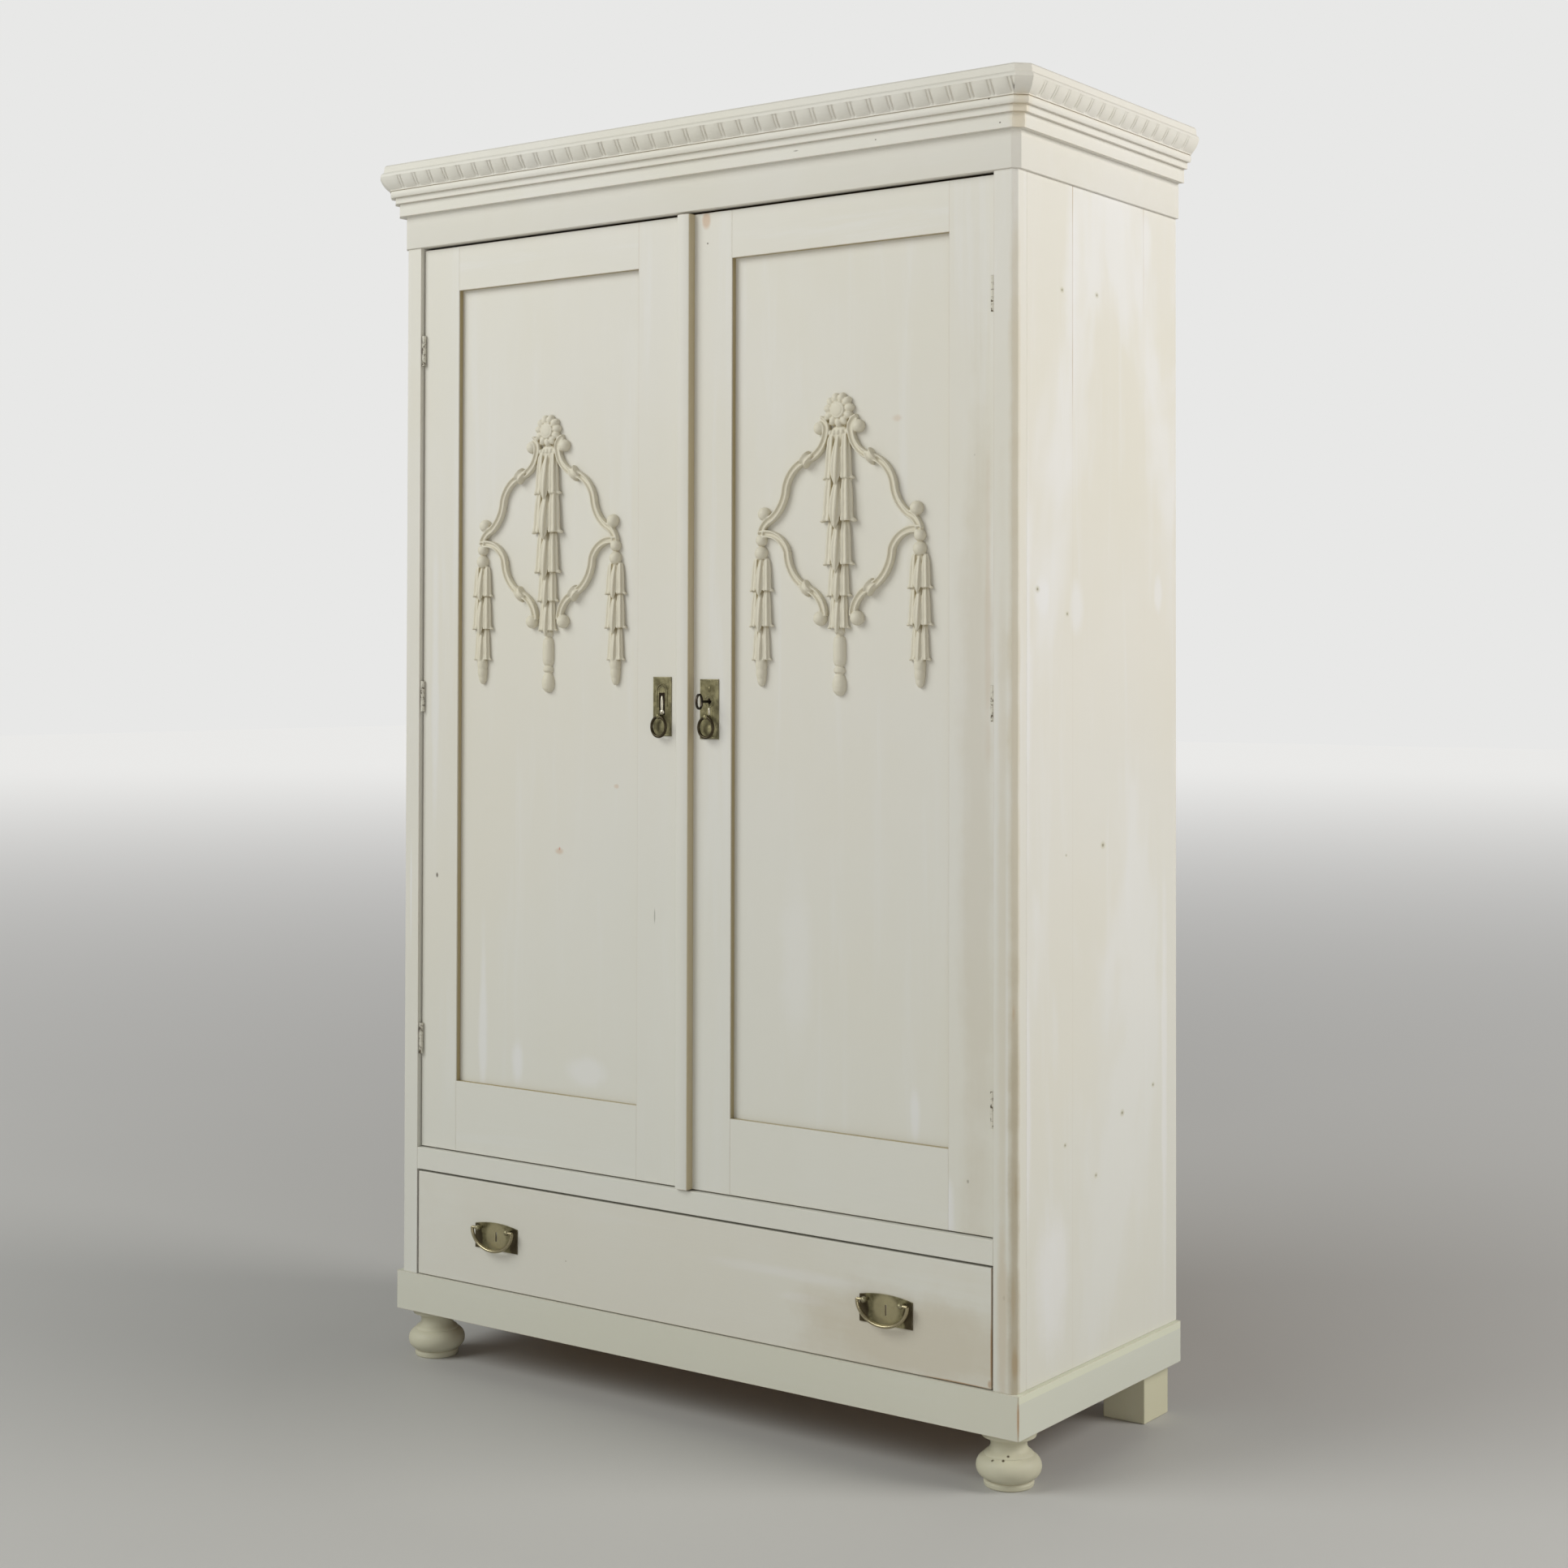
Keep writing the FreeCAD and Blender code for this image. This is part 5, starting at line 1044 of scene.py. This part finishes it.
def keyholeParts(bright, deep):
    # a keyhole of four near-black lobes round the key, painted shade in the hole, and a bead below it in
    # pale metal, a painted highlight
    size = plateLook["lobe"]
    for across, high in ((-1, 0), (1, 0), (0, -1.2), (0, 1.2)):
        spot = (across * size, 0, plateLook["keyhole"] + high * size)
        addBall(deep, spot, (size, 0.6 * mm, size), 0, 16)
    plateBead(bright, -4, 2.2, 2.0, 6.5)


def archRelief(whole, tall):
    # two arches, one in the other, round a long bright drop, and a shield below the eye
    look = plateLook
    high = tall / 2 - look["archTop"]
    for radius, half, rise in look["arches"]:
        radius, half, rise = radius * mm, half * mm, rise * mm
        arc = [(-radius, high), (0, high + radius), (radius, high)]
        add(whole, bar(*arc, look["section"], half, rise, 16))
        for hand in (-1, 1):
            leg = (hand * radius, 0, high - look["legs"] / 2)
            block(whole, leg, (1.8 * half, 2 * rise, look["legs"]), 0.4 * mm)
    plateBead(whole, -31, 7.0, 1.3, 10)


def keyholeRelief(whole, tall):
    # a small oval above the keyhole, a lobed collar round it and an upright bead below
    keyhole = plateLook["keyhole"]
    plateBead(whole, 30, 3.4, 1.4, 4.6)
    for radius in (5.4 * mm, 8.2 * mm):
        for hand in (-1, 1):
            arc = [(-radius, keyhole), (0, keyhole + hand * radius), (radius, keyhole)]
            add(whole, bar(*arc, plateLook["section"], 0.7 * mm, 1.0 * mm, 16))
    for hand in (-1, 1):
        addBall(whole, (hand * 5.5 * mm, 0, -4 * mm), (1.2 * mm, 1.0 * mm, 7.5 * mm), 0, 16)
    plateBead(whole, -32, 6.4, 1.3, 8.5)


def makePlateRelief(side, relief, inlay):
    look = plateLook
    low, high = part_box(side + "_lock_plate")
    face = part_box(side + "_lock_stile")[0].y - look["thick"]
    place = ((low.x + high.x) / 2, face + look["sink"], (low.z + high.z) / 2)
    raised, bright, deep = (bmesh.new() for part in range(3))
    plateRim(raised, high.x - low.x, high.z - low.z)
    relief(raised, high.z - low.z)
    inlay(bright, deep)
    for part, name, finish in (
            (raised, "PlateRelief", brass), (bright, "PlateHighlightDrop", highlightSilver), (deep, "PlateShadeRecess", shadeRecessMetal)):
        part.transform(Matrix.Translation(place))
        keepPiece(part, side + name, finish, side + "_door")


makePlateRelief("left", archRelief, dropParts)
makePlateRelief("right", keyholeRelief, keyholeParts)
print("stage: feet, strip, fittings")


# Stage, light and camera
# A light is (place, size, power, tone).
stageLook = {
    "floor": rgb(186, 185, 182), "floorSize": 30.0, "fades": (0.8, 25.0), "far": rgb(219, 219, 218),
    "background": rgb(232, 232, 231), "air": 0.2, "airTone": (1.0, 0.975, 0.94, 1),
    "lights": {
        "keyLight": ((4.8, 1.6, 3.2), 2.8, 184.0, (1.0, 0.985, 0.955)),
        "fillLight": ((-3.0, -4.4, 4.3), 4.4, 240.0, (0.975, 1.0, 0.98)),
        "lowLight": ((3.2, -4.6, 1.1), 2.0, 36.0, (1.0, 0.99, 0.96)),
    },
    "aim": (0, 0, 1.0),
}


def makeStage():
    look = stageLook
    bm = bmesh.new()
    bmesh.ops.create_grid(bm, x_segments=1, y_segments=1, size=look["floorSize"])
    floor = placed("floor", meshOf("floor", bm))
    floor.data.materials.append(makeFloor("floorFinish", look["floor"], look["far"], look["fades"]))
    for name, (place, size, power, tone) in look["lights"].items():
        lamp = bpy.data.lights.new(name, "AREA")
        lamp.shape = "DISK"
        lamp.size = size
        lamp.energy = power
        lamp.color = tone
        light = placed(name, lamp)
        light.location = place
        light.rotation_euler = (Vector(look["aim"]) - Vector(place)).to_track_quat("-Z", "Y").to_euler()
    world = bpy.data.worlds.new("studio")
    bpy.context.scene.world = world
    world.use_nodes = True
    tree = world.node_tree
    plain = tree.nodes["Background"]
    plain.inputs["Color"].default_value = look["airTone"]
    plain.inputs["Strength"].default_value = look["air"]
    seen = tree.nodes.new("ShaderNodeBackground")
    seen.inputs["Color"].default_value = look["background"]
    rays = tree.nodes.new("ShaderNodeLightPath")
    mix = tree.nodes.new("ShaderNodeMixShader")
    tree.links.new(rays.outputs["Is Camera Ray"], mix.inputs[0])
    tree.links.new(plain.outputs[0], mix.inputs[1])
    tree.links.new(seen.outputs[0], mix.inputs[2])
    tree.links.new(mix.outputs[0], tree.nodes["World Output"].inputs["Surface"])


cameraLook = {
    "place": (2.296, -3.1235, 1.1375), "azimuth": 35.95, "rise": 0.93, "roll": 0.117,
    "lens": 56.15, "shift": -0.1016, "sensor": 36.0, "farClip": 100.0,
}


def makeCamera():
    look = cameraLook
    data = bpy.data.cameras.new("camera")
    data.lens = look["lens"]
    data.sensor_width = look["sensor"]
    data.shift_y = look["shift"]
    data.clip_end = look["farClip"]
    camera = placed("camera", data)
    turn = Matrix.Identity(4)
    for angle, axis in ((look["azimuth"], "Z"), (90 + look["rise"], "X"), (look["roll"], "Z")):
        turn = turn @ Matrix.Rotation(math.radians(angle), 4, axis)
    camera.matrix_world = Matrix.Translation(look["place"]) @ turn
    bpy.context.scene.camera = camera


makeStage()
makeCamera()
bpy.context.scene.view_settings.view_transform = "Standard"
print("stage: light and camera")
